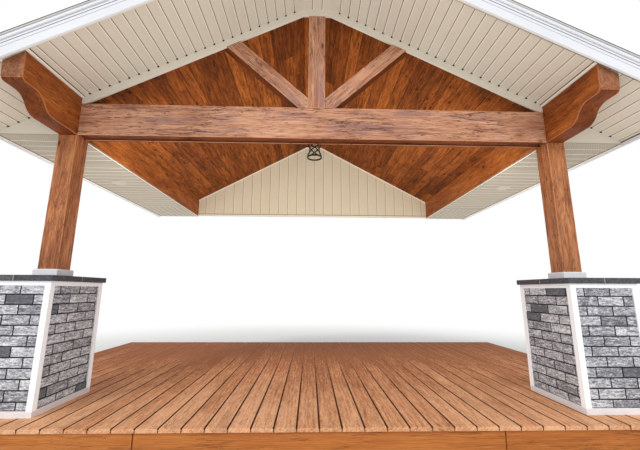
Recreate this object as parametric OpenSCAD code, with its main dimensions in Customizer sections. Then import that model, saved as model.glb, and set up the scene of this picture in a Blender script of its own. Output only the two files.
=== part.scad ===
// Porch canopy: a gable roof on two timber posts with stone-clad pedestals and a deck.
// X runs across the front, Y from the front towards the wall, Z up from the ground.
// Lengths are in millimetres. Modules are drawn with Y = 0 at the front face of the posts.

/* [Deck] */
// Reach of the deck past the pedestals' outer faces
deck_side = 630; // [500:5:900]
// Height of the deck's walking surface above the ground
deck_h = 400; // [380:5:600]
// Reach of the deck in front of the posts
deck_front = 470; // [420:5:700]
// Thickness of the deck boards
board_t = 28; // [22:1:40]
// Reach of the deck boards past the rim boards
board_lip = 22; // [10:1:40]
// Radius of the boards' front arris
board_r = 9; // [4:1:12]
// Height of the rim boards
rim_h = 235; // [200:5:280]
// Thickness of the rim boards
rim_t = 38; // [30:1:50]
// Gap at the front rim board's butt joints
rim_gap = 3; // [1:1:6]
// Place of the front rim board's left joint
rim_joint_left = -1270; // [-1600:10:-1000]
// Place of the front rim board's right joint
rim_joint_right = 1360; // [1000:10:1600]
// Height of the joists
joist_h = 170; // [140:5:190]
// Thickness of the joists
joist_t = 45; // [38:1:60]
// Number of joists
joist_n = 9; // [7:1:11]
// Height of the girders below the joists
girder_h = 140; // [100:5:150]
// Width of the girders
girder_w = 90; // [70:5:140]
// Width of the ground pads
pad_w = 320; // [240:10:420]
// Distance of the rear pads' centres from the wall
pad_back = 260; // [180:10:500]

/* [Pedestals] */
// Width of a pedestal across the front
ped_w = 580; // [500:5:640]
// Distance of a pedestal's middle outwards from the post's axis
ped_shift = 44; // [0:1:70]
// Depth of a pedestal from front to back
ped_d = 690; // [600:5:760]
// Height of a pedestal with its cap
ped_h = 1060; // [900:10:1200]
// Thickness of the cap
cap_t = 47; // [35:1:60]
// Reach of the cap past the pedestal
cap_lip = 20; // [10:1:40]
// Chamfer along the cap's top edges
cap_bevel = 5; // [2:1:10]
// Width of the corner boards on each face
corner_w = 48; // [35:1:70]
// Height of the top rail
top_rail = 37; // [25:1:60]
// Height of the bottom rail
bottom_rail = 47; // [30:1:80]
// Thickness of the corner boards and rails
trim_t = 19; // [15:1:25]
// Depth of the stone face behind the face of the trim
stone_set = 8; // [4:1:11]
// Height of the white collar round the foot of a post
skirt_h = 63; // [40:1:100]
// Thickness of the collar
skirt_t = 20; // [12:1:30]
// Chamfer along the collar's top edge
skirt_bevel = 8; // [3:1:11]

/* [Timber frame] */
// Clear width between the posts
clear_w = 4560; // [4200:10:4900]
// Width of the square posts and of the side beams
post_w = 172; // [150:2:200]
// Height of the beams' underside above the deck
head_h = 2395; // [2200:5:2600]
// Height of the beams at their inner face
beam_h = 325; // [280:5:380]
// Depth of the truss timbers from front to back
truss_d = 145; // [120:5:160]
// Thickness of the boards of the boxed tie beam
box_t = 22; // [18:1:30]
// Depth of the tie beam's recessed underside board
box_set = 10; // [5:1:20]
// Width of the king post
king_w = 170; // [140:5:200]
// Width of the braces
brace_w = 142; // [120:2:160]
// Angle of the braces above the tie beam
brace_angle = 42; // [38:1:48]
// Distance from the king post to a brace's lower edge, along the tie beam
brace_foot = 100; // [60:5:160]
// Depth of the braces from front to back
brace_d = 128; // [100:2:140]
// Distance from the posts' front face to the tip of a beam tail
tail_out = 672; // [600:2:690]
// Lean of the tail's front face over its height
tail_lean = 14; // [0:1:25]
// Length of the tail's curve from front to back
ogee_run = 240; // [200:5:280]
// Rise of the tail's curve
ogee_rise = 140; // [100:5:160]
// Length of the beam's straight underside in front of the post
ogee_start = 292; // [240:2:320]
// Radius of the tail's lower front corner
tail_r = 40; // [20:2:60]

/* [Roof] */
// Distance from the posts' front face to the wall
run_y = 3590; // [3200:10:4000]
// Angle of the roof above level
roof_angle = 26.565; // [26.1:0.005:28]
// Angle of the vault ceiling above level
ceiling_angle = 28.34; // [26.6:0.01:29]
// Vertical thickness of the ceiling boards
ceiling_v = 17; // [12:1:22]
// Vertical depth of the rafters over the side beams
rafter_v = 166; // [161:1:200]
// Thickness of a rafter
rafter_t = 45; // [38:1:60]
// Number of rafter pairs between the truss and the wall
rafter_n = 6; // [4:1:8]
// Thickness of the ridge board
ridge_t = 38; // [30:1:50]
// Vertical thickness of the roof boarding
sheath_v = 26; // [20:1:34]
// Vertical thickness of the shingles
shingle_v = 12; // [8:1:18]
// Height of the rake soffit above the foot of the ceiling
soffit_lift = 55; // [45:1:60]
// Thickness of the soffit panels
soffit_t = 12; // [8:1:18]
// Half the width of the flat strip along the peak
peak_half = 147; // [110:1:200]
// Vertical height of the frieze board
frieze_v = 72; // [60:1:80]
// Thickness of the frieze and closure boards
frieze_t = 25; // [18:1:35]
// Reach of the roof in front of the posts, to the fascia's face
rake_out = 720; // [695:1:780]
// Reach of the eaves past the side beams, to the fascia's face
eave_out = 600; // [580:5:760]
// Thickness of the fascia boards
fascia_t = 20; // [16:1:28]
// Reach of the fascias below the soffits
fascia_lip = 22; // [10:1:30]
// Vertical height of the lower fascia band
fascia_v = 144; // [125:1:149]
// Height of the groove between the two fascia bands
groove_v = 6; // [3:1:9]
// Thickness of the upper fascia band
band_t = 12; // [8:1:18]
// Depth of the roof boarding's edge behind the face of the fascia
band_set = 10; // [5:1:15]
// Reach of the shingles past the fascia's face
drip = 20; // [14:1:30]
// Half the width of the ridge cap
cap_half = 150; // [100:5:200]
// Thickness of the gable siding
siding_t = 25; // [18:1:40]

/* [Lights] */
// Radius of a soffit light
spot_r = 94; // [60:1:110]
// Depth of a soffit light below the soffit
spot_t = 8; // [5:1:14]
// Width of a soffit light's rim
spot_rim = 14; // [8:1:24]
// Distance from the side beam's outer face to a soffit light
spot_x = 218; // [150:2:400]
// Distance from the posts' front face to a soffit light
spot_y = 1460; // [800:10:2800]
// Radius of the hanging lantern's cage
cage_r = 110; // [80:1:140]
// Height of the cage
cage_h = 330; // [280:5:400]
// Height of the lantern's lower ring above the deck
lantern_z = 2925; // [2700:5:3050]
// Distance from the posts' front face to the lantern
lantern_y = 1800; // [1200:10:2600]
// Radius of a cage bar
bar_r = 5; // [3:0.5:6]
// Number of cage bars winding each way
bar_n = 2; // [2:1:3]
// Angle that a cage bar winds through from the lower ring to the top plate
bar_angle = 240; // [180:5:270]
// Number of straight lengths in a cage bar
bar_steps = 10; // [8:1:12]
// Height of the lantern's rings
ring_h = 12; // [8:1:18]
// Radius of the glass cylinder
glass_r = 84; // [60:1:86]
// Thickness of the glass
glass_t = 3; // [2:0.5:5]
// Height of the glass
glass_h = 262; // [200:2:270]
// Radius of the lantern's stem
stem_r = 8; // [6:1:12]
// Radius of the lantern's ceiling rose
rose_r = 65; // [50:1:90]
// Height of the ceiling rose
rose_h = 24; // [16:1:40]
// Radius of the bulb
bulb_r = 30; // [20:1:36]

/* [Hidden] */

// Play by which a cut runs past the solid it is taken from
over = 1;

// Places across the front
in_x = clear_w / 2;
out_x = in_x + post_w;
mid_x = in_x + post_w / 2;
eave_x = out_x + eave_out;
fascia_x = eave_x - fascia_t;
ped_x = mid_x + ped_shift;
deck_x = ped_x + ped_w / 2 + deck_side;
rim_x = deck_x - board_lip;

// Places from front to back
mid_y = post_w / 2;
rim_y = -deck_front + board_lip;
sheath_y = -rake_out + band_set;
soffit_y = -rake_out + fascia_t;
band_y = sheath_y - band_set - band_t;
shingle_y = -rake_out - drip;
y_shift = -(shingle_y + run_y) / 2;

// Heights
board_z = deck_h - board_t;
joist_z = board_z - joist_h;
girder_z = joist_z - girder_h;
ped_top = deck_h + ped_h;
cap_z = ped_top - cap_t;
head_z = deck_h + head_h;
beam_z = head_z + beam_h;
under_z = head_z - soffit_t;
fascia_z = under_z - fascia_lip;

// Rise of the roof and of the vault ceiling for each unit of run
slope = tan(roof_angle);
ceiling_slope = tan(ceiling_angle);

// Sloping lines, which all start from the side beams' inner top edge or from a height over it:
// each gives a height for a distance x from the centre
function ceiling_at(x) = beam_z + ceiling_slope * (in_x - x);
function roof_at(x) = beam_z + slope * (in_x - x);
function rafter_at(x) = roof_at(x) + ceiling_v;
function sheath_at(x) = rafter_at(x) + rafter_v;
function shingle_at(x) = sheath_at(x) + sheath_v;
function soffit_at(x) = roof_at(x) + soffit_lift;
function fascia_at(x) = soffit_at(x) - fascia_lip;
function frieze_at(x) = soffit_at(x) - frieze_v;
function cut_x(z, z_peak) = (z_peak - z) / slope;

// Where the sloping lines turn level ahead of the eave fascia, or else just behind it
rafter_foot = min(cut_x(head_z, rafter_at(0)), fascia_x - over);
rafter_foot_z = rafter_at(rafter_foot);
soffit_foot = min(cut_x(under_z, soffit_at(0)), fascia_x - over);
soffit_foot_z = soffit_at(soffit_foot);

// Where the frieze comes down to the tie beam, and the heights along the flat strip at the peak
frieze_foot = cut_x(beam_z, frieze_at(0));
peak_ceiling_z = ceiling_at(peak_half);
peak_rafter_z = peak_ceiling_z + ceiling_v;
peak_soffit_z = soffit_at(peak_half);
peak_frieze_z = frieze_at(peak_half);

// Points of an arc about a centre, from one angle to another
function arc(c, r, from, to, steps) =
    [for (i = [0:steps]) let(a = from + (to - from) * i / steps) c + r * [cos(a), sin(a)]];

// A solid drawn in X and Z and drawn out along Y
module along_y(y0, y1) {
    translate([0, y1, 0]) rotate([90, 0, 0]) linear_extrude(y1 - y0) children();
}

// A solid drawn in Y and Z and drawn out along X
module along_x(x0, x1) {
    translate([x0, 0, 0]) rotate([90, 0, 90]) linear_extrude(x1 - x0) children();
}

// A block between two corners
module block(low, high) {
    translate(low) cube(high - low);
}

// The whole model with its origin under the middle of its box
module placed() {
    translate([0, y_shift, 0]) children();
}

module left() {
    mirror([1, 0, 0]) children();
}

// Deck

module deck_boards() {
    rise = board_z + board_t - board_r;
    profile = concat(
        arc([-deck_front + board_r, rise], board_r, 180, 90, 6),
        [[run_y, deck_h], [run_y, board_z], [-deck_front, board_z]]
    );
    color("peru") along_x(-deck_x, deck_x) polygon(profile);
}

module rim_piece(x0, x1) {
    block([x0, rim_y, board_z - rim_h], [x1, rim_y + rim_t, board_z]);
}

module rim_front() {
    color("sienna") {
        rim_piece(-rim_x, rim_joint_left - rim_gap / 2);
        rim_piece(rim_joint_left + rim_gap / 2, rim_joint_right - rim_gap / 2);
        rim_piece(rim_joint_right + rim_gap / 2, rim_x);
    }
}

module rim_right() {
    color("sienna") block(
        [rim_x - rim_t, rim_y + rim_t, board_z - rim_h],
        [rim_x, run_y - rim_t, board_z]
    );
}

module deck_ledger() {
    color("sienna") block([-rim_x, run_y - rim_t, board_z - rim_h], [rim_x, run_y, board_z]);
}

module deck_joists() {
    start = rim_y + rim_t + joist_t;
    step = (run_y - rim_t - 2 * joist_t - start) / (joist_n - 1);
    for (i = [0:joist_n - 1])
        color("burlywood") block(
            [-rim_x + rim_t, start + i * step, joist_z],
            [rim_x - rim_t, start + i * step + joist_t, board_z]
        );
}

// Places of the four girders, the outer two under the posts
girder_x = [for (k = [-1, -1 / 3, 1 / 3, 1]) k * mid_x];

module deck_girders() {
    for (x = girder_x)
        color("burlywood") block(
            [x - girder_w / 2, rim_y + rim_t, girder_z],
            [x + girder_w / 2, run_y - rim_t, joist_z]
        );
}

module ground_pads() {
    rear = run_y - pad_back;
    for (x = girder_x, y = [mid_y, (mid_y + rear) / 2, rear])
        color("darkgray") block([x - pad_w / 2, y - pad_w / 2, 0], [x + pad_w / 2, y + pad_w / 2, girder_z]);
}

// Pedestals

module ped_block(half_w, half_d, z0, z1) {
    block([ped_x - half_w, mid_y - half_d, z0], [ped_x + half_w, mid_y + half_d, z1]);
}

module pedestal_right() {
    z0 = deck_h + bottom_rail;
    z1 = cap_z - top_rail;
    color("gray") union() {
        ped_block(ped_w / 2 - trim_t, ped_d / 2 - trim_t, deck_h, cap_z);
        ped_block(ped_w / 2 - stone_set, ped_d / 2 - corner_w, z0, z1);
        ped_block(ped_w / 2 - corner_w, ped_d / 2 - stone_set, z0, z1);
    }
}

module pedestal_trim_right() {
    z0 = deck_h + bottom_rail;
    z1 = cap_z - top_rail;
    color("white") difference() {
        ped_block(ped_w / 2, ped_d / 2, deck_h, cap_z);
        ped_block(ped_w / 2 - trim_t, ped_d / 2 - trim_t, deck_h - over, cap_z + over);
        ped_block(ped_w / 2 + over, ped_d / 2 - corner_w, z0, z1);
        ped_block(ped_w / 2 - corner_w, ped_d / 2 + over, z0, z1);
    }
}

// Outline of a slab with chamfered top corners, drawn about its middle
module bevel_outline(half, z0, z1, bevel) {
    polygon([[-half, z0], [half, z0], [half, z1 - bevel], [half - bevel, z1], [bevel - half, z1],
             [-half, z1 - bevel]]);
}

// A block about x and the post's middle with a chamfer round its top
module bevel_block(x, half_w, half_d, z0, z1, bevel) {
    intersection() {
        translate([x, 0, 0]) along_y(mid_y - half_d, mid_y + half_d) bevel_outline(half_w, z0, z1, bevel);
        translate([0, mid_y, 0]) along_x(x - half_w, x + half_w) bevel_outline(half_d, z0, z1, bevel);
    }
}

module pedestal_cap_right() {
    color("dimgray") bevel_block(ped_x, ped_w / 2 + cap_lip, ped_d / 2 + cap_lip, cap_z, ped_top, cap_bevel);
}

module post_skirt_right() {
    half = post_w / 2 + skirt_t;
    color("white") difference() {
        bevel_block(mid_x, half, half, ped_top, ped_top + skirt_h, skirt_bevel);
        block([in_x, 0, ped_top - over], [out_x, post_w, ped_top + skirt_h + over]);
    }
}

module post_right() {
    color("chocolate") block([in_x, 0, ped_top], [out_x, post_w, head_z]);
}

// Truss

module tie_beam() {
    profile = [
        [0, head_z], [box_t, head_z], [box_t, head_z + box_set], [truss_d - box_t, head_z + box_set],
        [truss_d - box_t, head_z], [truss_d, head_z], [truss_d, beam_z], [0, beam_z]
    ];
    color("peru") along_x(-in_x, in_x) polygon(profile);
}

// The king post and the braces stop under the frieze in front and under the ceiling behind it
module king_post() {
    color("peru") union() {
        block([-king_w / 2, 0, beam_z], [king_w / 2, truss_d, peak_frieze_z]);
        block([-king_w / 2, frieze_t, beam_z], [king_w / 2, truss_d, peak_ceiling_z]);
    }
}

// Outline of a brace from the foot of the king post to a line that falls from z_peak at the centre
module brace_outline(z_peak, fall) {
    rise = tan(brace_angle);
    low_x = king_w / 2 + brace_foot;
    high_z = beam_z - brace_foot * rise + brace_w / cos(brace_angle);
    low_end = (z_peak - beam_z + rise * low_x) / (rise + fall);
    high_end = (z_peak - high_z + rise * king_w / 2) / (rise + fall);
    polygon([
        [king_w / 2, beam_z], [low_x, beam_z], [low_end, z_peak - fall * low_end],
        [high_end, z_peak - fall * high_end], [king_w / 2, high_z]
    ]);
}

module brace_right() {
    color("peru") union() {
        along_y(0, brace_d) brace_outline(frieze_at(0), slope);
        along_y(frieze_t, brace_d) brace_outline(ceiling_at(0), ceiling_slope);
    }
}

// Room for the ridge board in a board of the gable
module ridge_slot(y0, y1, z) {
    block([-ridge_t / 2, y0 - over, z], [ridge_t / 2, y1 + over, sheath_at(0) + over]);
}

module top_chord_right() {
    color("peru") difference() {
        along_y(frieze_t, truss_d) polygon([
            [0, peak_rafter_z], [peak_half, peak_rafter_z], [in_x, rafter_at(in_x)],
            [rafter_foot, rafter_foot_z], [fascia_x, rafter_foot_z], [fascia_x, sheath_at(fascia_x)],
            [0, sheath_at(0)]
        ]);
        ridge_slot(frieze_t, truss_d, peak_rafter_z);
    }
}

// Side beam with its shaped tail in front of the post

module tail_outline() {
    turn = 2 * atan(ogee_rise / ogee_run);
    r = ogee_run / (2 * sin(turn));
    z0 = head_z;
    z1 = head_z + ogee_rise;
    front = -tail_out + tail_lean;
    top = soffit_at(in_x);
    polygon(concat(
        [[run_y, z0]],
        arc([-ogee_start, z0 + r], r, 270, 270 - turn, 8),
        arc([-ogee_start - ogee_run, z1 - r], r, 90 - turn, 90, 8),
        arc([front + tail_r, z1 + tail_r], tail_r, 270, 180, 6),
        [[-tail_out, top], [run_y, top]]
    ));
}

module side_beam_right() {
    color("chocolate") difference() {
        intersection() {
            along_x(in_x, out_x) tail_outline();
            along_y(-tail_out - over, run_y) polygon([
                [in_x - over, head_z - over], [out_x + over, head_z - over],
                [out_x + over, soffit_at(out_x + over)], [in_x - over, soffit_at(in_x - over)]
            ]);
        }
        along_y(frieze_t, run_y + over) polygon([
            [in_x - over, rafter_at(in_x - over)], [out_x + over, rafter_at(out_x + over)],
            [out_x + over, beam_z + beam_h], [in_x - over, beam_z + beam_h]
        ]);
    }
}

// Boards that close the gable from the rake soffit up to the roof boarding

module frieze_right() {
    color("beige") difference() {
        along_y(0, frieze_t) polygon([
            [0, peak_frieze_z], [peak_half, peak_frieze_z], [frieze_foot, beam_z], [in_x, beam_z],
            [in_x, sheath_at(in_x)], [0, sheath_at(0)]
        ]);
        ridge_slot(0, frieze_t, peak_soffit_z + soffit_t);
    }
}

module closure_right() {
    color("beige") along_y(0, frieze_t) polygon([
        [out_x, head_z], [fascia_x, head_z], [fascia_x, sheath_at(fascia_x)], [out_x, sheath_at(out_x)]
    ]);
}

module closures() {
    closure_right();
    left() closure_right();
}

// Rafters and ridge

module ridge_board() {
    half = ridge_t / 2;
    color("burlywood") union() {
        block([-half, soffit_y, peak_soffit_z + soffit_t], [half, frieze_t, sheath_at(half)]);
        block([-half, soffit_y, peak_rafter_z], [half, run_y, sheath_at(half)]);
    }
}

module rafter(y) {
    near = ridge_t / 2;
    along_y(y, y + rafter_t) polygon([
        [near, peak_rafter_z], [peak_half, peak_rafter_z], [in_x, rafter_at(in_x)],
        [rafter_foot, rafter_foot_z], [fascia_x, rafter_foot_z], [fascia_x, sheath_at(fascia_x)],
        [near, sheath_at(near)]
    ]);
}

// The foremost rafter carries the fascia, above the rake soffit
module fly_rafter() {
    near = ridge_t / 2;
    along_y(soffit_y, soffit_y + rafter_t) polygon([
        [near, peak_soffit_z + soffit_t], [peak_half, peak_soffit_z + soffit_t],
        [soffit_foot, soffit_foot_z + soffit_t], [fascia_x, soffit_foot_z + soffit_t],
        [fascia_x, sheath_at(fascia_x)], [near, sheath_at(near)]
    ]);
}

module rafter_side() {
    step = (run_y - truss_d - rafter_t) / rafter_n;
    fly_rafter();
    for (i = [1:rafter_n]) rafter(truss_d + i * step);
}

module rafters() {
    color("burlywood") {
        rafter_side();
        left() rafter_side();
    }
}

// Ceiling under the rafters

module ceiling_right() {
    color("saddlebrown") along_y(frieze_t, run_y) polygon([
        [peak_half, peak_ceiling_z], [in_x, beam_z], [in_x, rafter_at(in_x)], [peak_half, peak_rafter_z]
    ]);
}

module ceiling_peak() {
    color("saddlebrown") block([-peak_half, frieze_t, peak_ceiling_z], [peak_half, run_y, peak_rafter_z]);
}

// Soffits

module rake_soffit_right() {
    color("tan") along_y(soffit_y, 0) polygon([
        [peak_half, peak_soffit_z], [soffit_foot, soffit_foot_z], [fascia_x, soffit_foot_z],
        [fascia_x, soffit_foot_z + soffit_t], [soffit_foot, soffit_foot_z + soffit_t],
        [peak_half, peak_soffit_z + soffit_t]
    ]);
}

module rake_soffit_peak() {
    color("tan") block([-peak_half, soffit_y, peak_soffit_z], [peak_half, 0, peak_soffit_z + soffit_t]);
}

module eave_soffit_right() {
    color("tan") translate([0, 0, under_z]) linear_extrude(soffit_t) polygon([
        [out_x, 0], [fascia_x, 0], [fascia_x, run_y], [in_x, run_y], [in_x, post_w], [out_x, post_w]
    ]);
}

// Fascias

module rake_fascia_right() {
    end_x = eave_x + band_t;
    foot = min(cut_x(fascia_z, fascia_at(0)), fascia_x);
    color("white") {
        along_y(-rake_out, soffit_y) polygon([
            [0, fascia_at(peak_half)], [peak_half, fascia_at(peak_half)], [foot, fascia_at(foot)],
            [fascia_x, fascia_z], [eave_x, fascia_z], [eave_x, fascia_at(eave_x) + fascia_v],
            [0, fascia_at(0) + fascia_v]
        ]);
        along_y(band_y, sheath_y) polygon([
            [0, fascia_at(0) + fascia_v + groove_v], [end_x, fascia_at(end_x) + fascia_v + groove_v],
            [end_x, shingle_at(end_x)], [0, shingle_at(0)]
        ]);
    }
}

module eave_fascia_right() {
    end_x = eave_x + band_t;
    low = fascia_at(eave_x) + fascia_v + groove_v;
    color("white") {
        along_y(soffit_y, run_y) polygon([
            [fascia_x, fascia_z], [eave_x, fascia_z], [eave_x, sheath_at(eave_x)],
            [fascia_x, sheath_at(fascia_x)]
        ]);
        along_y(sheath_y, run_y) polygon([
            [eave_x, low], [end_x, low], [end_x, shingle_at(end_x)], [eave_x, shingle_at(eave_x)]
        ]);
    }
}

// Roof covering

module roof_right() {
    end_x = eave_x + drip;
    color("dimgray") union() {
        along_y(sheath_y, run_y) polygon([
            [0, sheath_at(0)], [eave_x, sheath_at(eave_x)], [eave_x, shingle_at(eave_x)], [0, shingle_at(0)]
        ]);
        along_y(shingle_y, run_y) polygon([
            [0, shingle_at(0)], [end_x, shingle_at(end_x)], [end_x, shingle_at(end_x) + shingle_v],
            [0, shingle_at(0) + shingle_v]
        ]);
    }
}

module ridge_cap() {
    top = shingle_at(0) + shingle_v;
    low = shingle_at(cap_half) + shingle_v;
    color("dimgray") along_y(shingle_y, run_y) polygon([
        [0, top], [cap_half, low], [cap_half, low + shingle_v], [0, top + shingle_v],
        [-cap_half, low + shingle_v], [-cap_half, low]
    ]);
}

// Gable infill at the wall

module gable_siding() {
    color("wheat") along_y(run_y - siding_t, run_y) polygon([
        [-in_x, head_z], [in_x, head_z], [in_x, beam_z], [peak_half, peak_ceiling_z],
        [-peak_half, peak_ceiling_z], [-in_x, beam_z]
    ]);
}

// Lights

module soffit_light() {
    translate([out_x + spot_x, spot_y, under_z - spot_t]) rotate_extrude($fn = 64) polygon([
        [0, spot_t / 2], [spot_r - spot_rim, spot_t / 2], [spot_r - spot_rim / 2, 0], [spot_r, spot_t / 2],
        [spot_r, spot_t], [0, spot_t]
    ]);
}

module soffit_lights() {
    color("white") {
        soffit_light();
        left() soffit_light();
    }
}

// A ring or plate of the lantern, about its upright axis
module lantern_disc(z, h, r_out, r_in) {
    translate([0, lantern_y, z]) difference() {
        cylinder(h = h, r = r_out, $fn = 64);
        if (r_in > 0) translate([0, 0, -over]) cylinder(h = h + 2 * over, r = r_in, $fn = 64);
    }
}

lantern_low = deck_h + lantern_z;
lantern_top = lantern_low + cage_h;

module lantern_hanger() {
    color("black") union() {
        lantern_disc(lantern_top, ring_h, cage_r, 0);
        lantern_disc(lantern_top + ring_h, 2 * ring_h, rose_r / 2, 0);
        lantern_disc(lantern_top, peak_ceiling_z - lantern_top, stem_r, 0);
        lantern_disc(peak_ceiling_z - rose_h, rose_h, rose_r, 0);
    }
}

// A point at the part t of a bar that winds about the axis from the lower ring to the top plate
function bar_point(start, turn, t) =
    let(r = cage_r - bar_r, a = start + t * turn, z0 = lantern_low + ring_h / 2)
    [r * cos(a), lantern_y + r * sin(a), z0 + t * (lantern_top + over - z0)];

// A straight length of a bar, which runs on past its end by half the bar's radius
module bar_length(a, b) {
    d = b - a;
    translate(a) rotate([0, acos(d.z / norm(d)), atan2(d.y, d.x)])
        cylinder(h = norm(d) + bar_r / 2, r = bar_r, $fn = 8);
}

module cage_bar(start, turn) {
    for (k = [0:bar_steps - 1])
        bar_length(bar_point(start, turn, k / bar_steps), bar_point(start, turn, (k + 1) / bar_steps));
}

module lantern_cage() {
    color("black") intersection() {
        union() {
            lantern_disc(lantern_low, ring_h, cage_r, cage_r - 2 * bar_r);
            for (i = [0:bar_n - 1]) {
                cage_bar(i * 360 / bar_n, bar_angle);
                cage_bar(i * 360 / bar_n, -bar_angle);
            }
        }
        lantern_disc(lantern_low, cage_h, cage_r + bar_r, 0);
    }
}

module lantern_glass() {
    color("lightblue", 0.4) lantern_disc(lantern_top - glass_h, glass_h, glass_r, glass_r - glass_t);
}

module lantern_bulb() {
    neck_h = glass_h / 3;
    drop = neck_h + bulb_r;
    color("ivory") translate([0, lantern_y, lantern_top - drop]) union() {
        sphere(r = bulb_r, $fn = 32);
        cylinder(h = drop, r = bulb_r / 2, $fn = 32);
    }
}

placed() deck_boards();
placed() rim_front();
placed() left() rim_right();  // rim_left
placed() rim_right();
placed() deck_ledger();
placed() deck_joists();
placed() deck_girders();
placed() ground_pads();
placed() left() pedestal_right();  // pedestal_left
placed() pedestal_right();
placed() left() pedestal_trim_right();  // pedestal_trim_left
placed() pedestal_trim_right();
placed() left() pedestal_cap_right();  // pedestal_cap_left
placed() pedestal_cap_right();
placed() left() post_skirt_right();  // post_skirt_left
placed() post_skirt_right();
placed() left() post_right();  // post_left
placed() post_right();
placed() tie_beam();
placed() king_post();
placed() left() brace_right();  // brace_left
placed() brace_right();
placed() left() top_chord_right();  // top_chord_left
placed() top_chord_right();
placed() left() side_beam_right();  // side_beam_left
placed() side_beam_right();
placed() left() frieze_right();  // frieze_left
placed() frieze_right();
placed() ridge_board();
placed() rafters();
placed() left() ceiling_right();  // ceiling_left
placed() ceiling_right();
placed() ceiling_peak();
placed() left() rake_soffit_right();  // rake_soffit_left
placed() rake_soffit_right();
placed() rake_soffit_peak();
placed() left() eave_soffit_right();  // eave_soffit_left
placed() eave_soffit_right();
placed() closures();
placed() left() rake_fascia_right();  // rake_fascia_left
placed() rake_fascia_right();
placed() left() eave_fascia_right();  // eave_fascia_left
placed() eave_fascia_right();
placed() left() roof_right();  // roof_left
placed() roof_right();
placed() ridge_cap();
placed() gable_siding();
placed() soffit_lights();
placed() lantern_hanger();
placed() lantern_cage();
placed() lantern_glass();
placed() lantern_bulb();
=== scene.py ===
"""Looks of the porch canopy: its boards, stones, panels and shingles, and the finish of every surface.

Lengths are in metres. X runs across the front, Y from the front towards the wall, Z up from the ground.
"""

import functools
import logging
import math
import random
from collections.abc import Callable, Iterable, Sequence
from dataclasses import dataclass, field, replace
from enum import Enum
from typing import Any

import bmesh
import bpy
from mathutils import Matrix, Vector, noise


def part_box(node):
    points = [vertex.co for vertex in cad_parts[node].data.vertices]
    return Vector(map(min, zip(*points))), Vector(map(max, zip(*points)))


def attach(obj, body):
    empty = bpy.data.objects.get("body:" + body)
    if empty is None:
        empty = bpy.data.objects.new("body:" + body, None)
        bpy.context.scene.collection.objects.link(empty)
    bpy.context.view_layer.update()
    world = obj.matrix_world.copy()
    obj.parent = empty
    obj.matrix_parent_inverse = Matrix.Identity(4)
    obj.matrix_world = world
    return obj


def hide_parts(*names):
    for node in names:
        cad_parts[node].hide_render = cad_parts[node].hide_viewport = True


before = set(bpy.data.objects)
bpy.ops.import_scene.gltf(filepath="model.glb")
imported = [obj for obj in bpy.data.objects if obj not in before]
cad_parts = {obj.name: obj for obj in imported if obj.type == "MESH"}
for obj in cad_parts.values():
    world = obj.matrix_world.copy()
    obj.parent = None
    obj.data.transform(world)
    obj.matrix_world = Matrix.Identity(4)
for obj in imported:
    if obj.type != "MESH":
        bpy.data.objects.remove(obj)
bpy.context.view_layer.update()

LOG = logging.getLogger("porch_canopy")
ROOT = "root"
TONE = "tone"

# Tones that paint shows as a groove's painted shade, as the plain surface and as a raised edge's painted
# highlight.
GROOVE, PLAIN, CREST = 0.0, 0.5, 1.0
# Least angle at which an edge is eased, and the angle below which faces are shaded as one.
SHARP, SMOOTH = math.radians(18.0), math.radians(20.0)
# How far hidden faces run into their neighbours.
LAP = 0.001
# Height of a course of shingles that shows, and the length of a tab under the courses above it.
EXPOSURE, OVERLAP = 0.143, 0.11
# How far from a groove's middle its painted highlight reaches, in widths of the groove.
LIP_REACH = 1.3

Point = Sequence[float]
Outline = list[tuple[float, ...]]
Tones = float | list[float]
Pair = tuple[float, float]
Spans = list[Pair]
Lift = Callable[[float, float, float], Point]


class Side(Enum):
    """The two sides of the canopy, with the sign of X on each."""

    LEFT = -1
    RIGHT = 1

    @property
    def word(self) -> str:
        """The side as piece names have it."""
        return self.name.lower()


class Grain(Enum):
    """Way that a piece's grain runs, as the turn in degrees that lays it along X."""

    ACROSS = (0.0, 0.0, 0.0)
    DEEP = (0.0, 0.0, -90.0)
    UPRIGHT = (0.0, 90.0, 0.0)
    BRACE_LEFT = (0.0, -42.0, 0.0)
    BRACE_RIGHT = (0.0, 42.0, 0.0)
    SLOPE_LEFT = (0.0, 26.565, 0.0)
    SLOPE_RIGHT = (0.0, -26.565, 0.0)

    @property
    def turn(self) -> tuple[float, float, float]:
        """The turn in radians."""
        return tuple(math.radians(angle) for angle in self.value)

    @property
    def way(self) -> Vector:
        """The grain's direction on the object."""
        _, tip, swing = self.turn
        return Matrix.Rotation(-tip, 3, "Y") @ Matrix.Rotation(-swing, 3, "Z") @ Vector((1, 0, 0))


@dataclass(frozen=True)
class Shade:
    """A colour as a screen shows it, each part from 0 to 255."""

    red: int
    green: int
    blue: int

    @property
    def linear(self) -> tuple[float, float, float, float]:
        """The colour in the linear values that shaders use."""
        parts = (part / 255 for part in (self.red, self.green, self.blue))
        straight = (p / 12.92 if p <= 0.04045 else ((p + 0.055) / 1.055) ** 2.4 for p in parts)
        return (*straight, 1.0)


def maths(operation: str, mirrored: bool = False) -> Callable[..., Any]:
    """Make an operator of sockets, which adds one node of maths.

    Args:
        operation: What the node does, in Blender's word for it.
        mirrored: Whether the socket comes after the other value.

    Returns:
        The operator.
    """

    def operate(sock: "Sock", *others: Any) -> Any:
        """Join a socket and the others, which are numbers, vectors or sockets."""
        values = (*others, sock) if mirrored else (sock, *others)
        return sock.tree.make(sock.NODE, {"operation": operation}, dict(enumerate(values)))

    return operate


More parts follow.
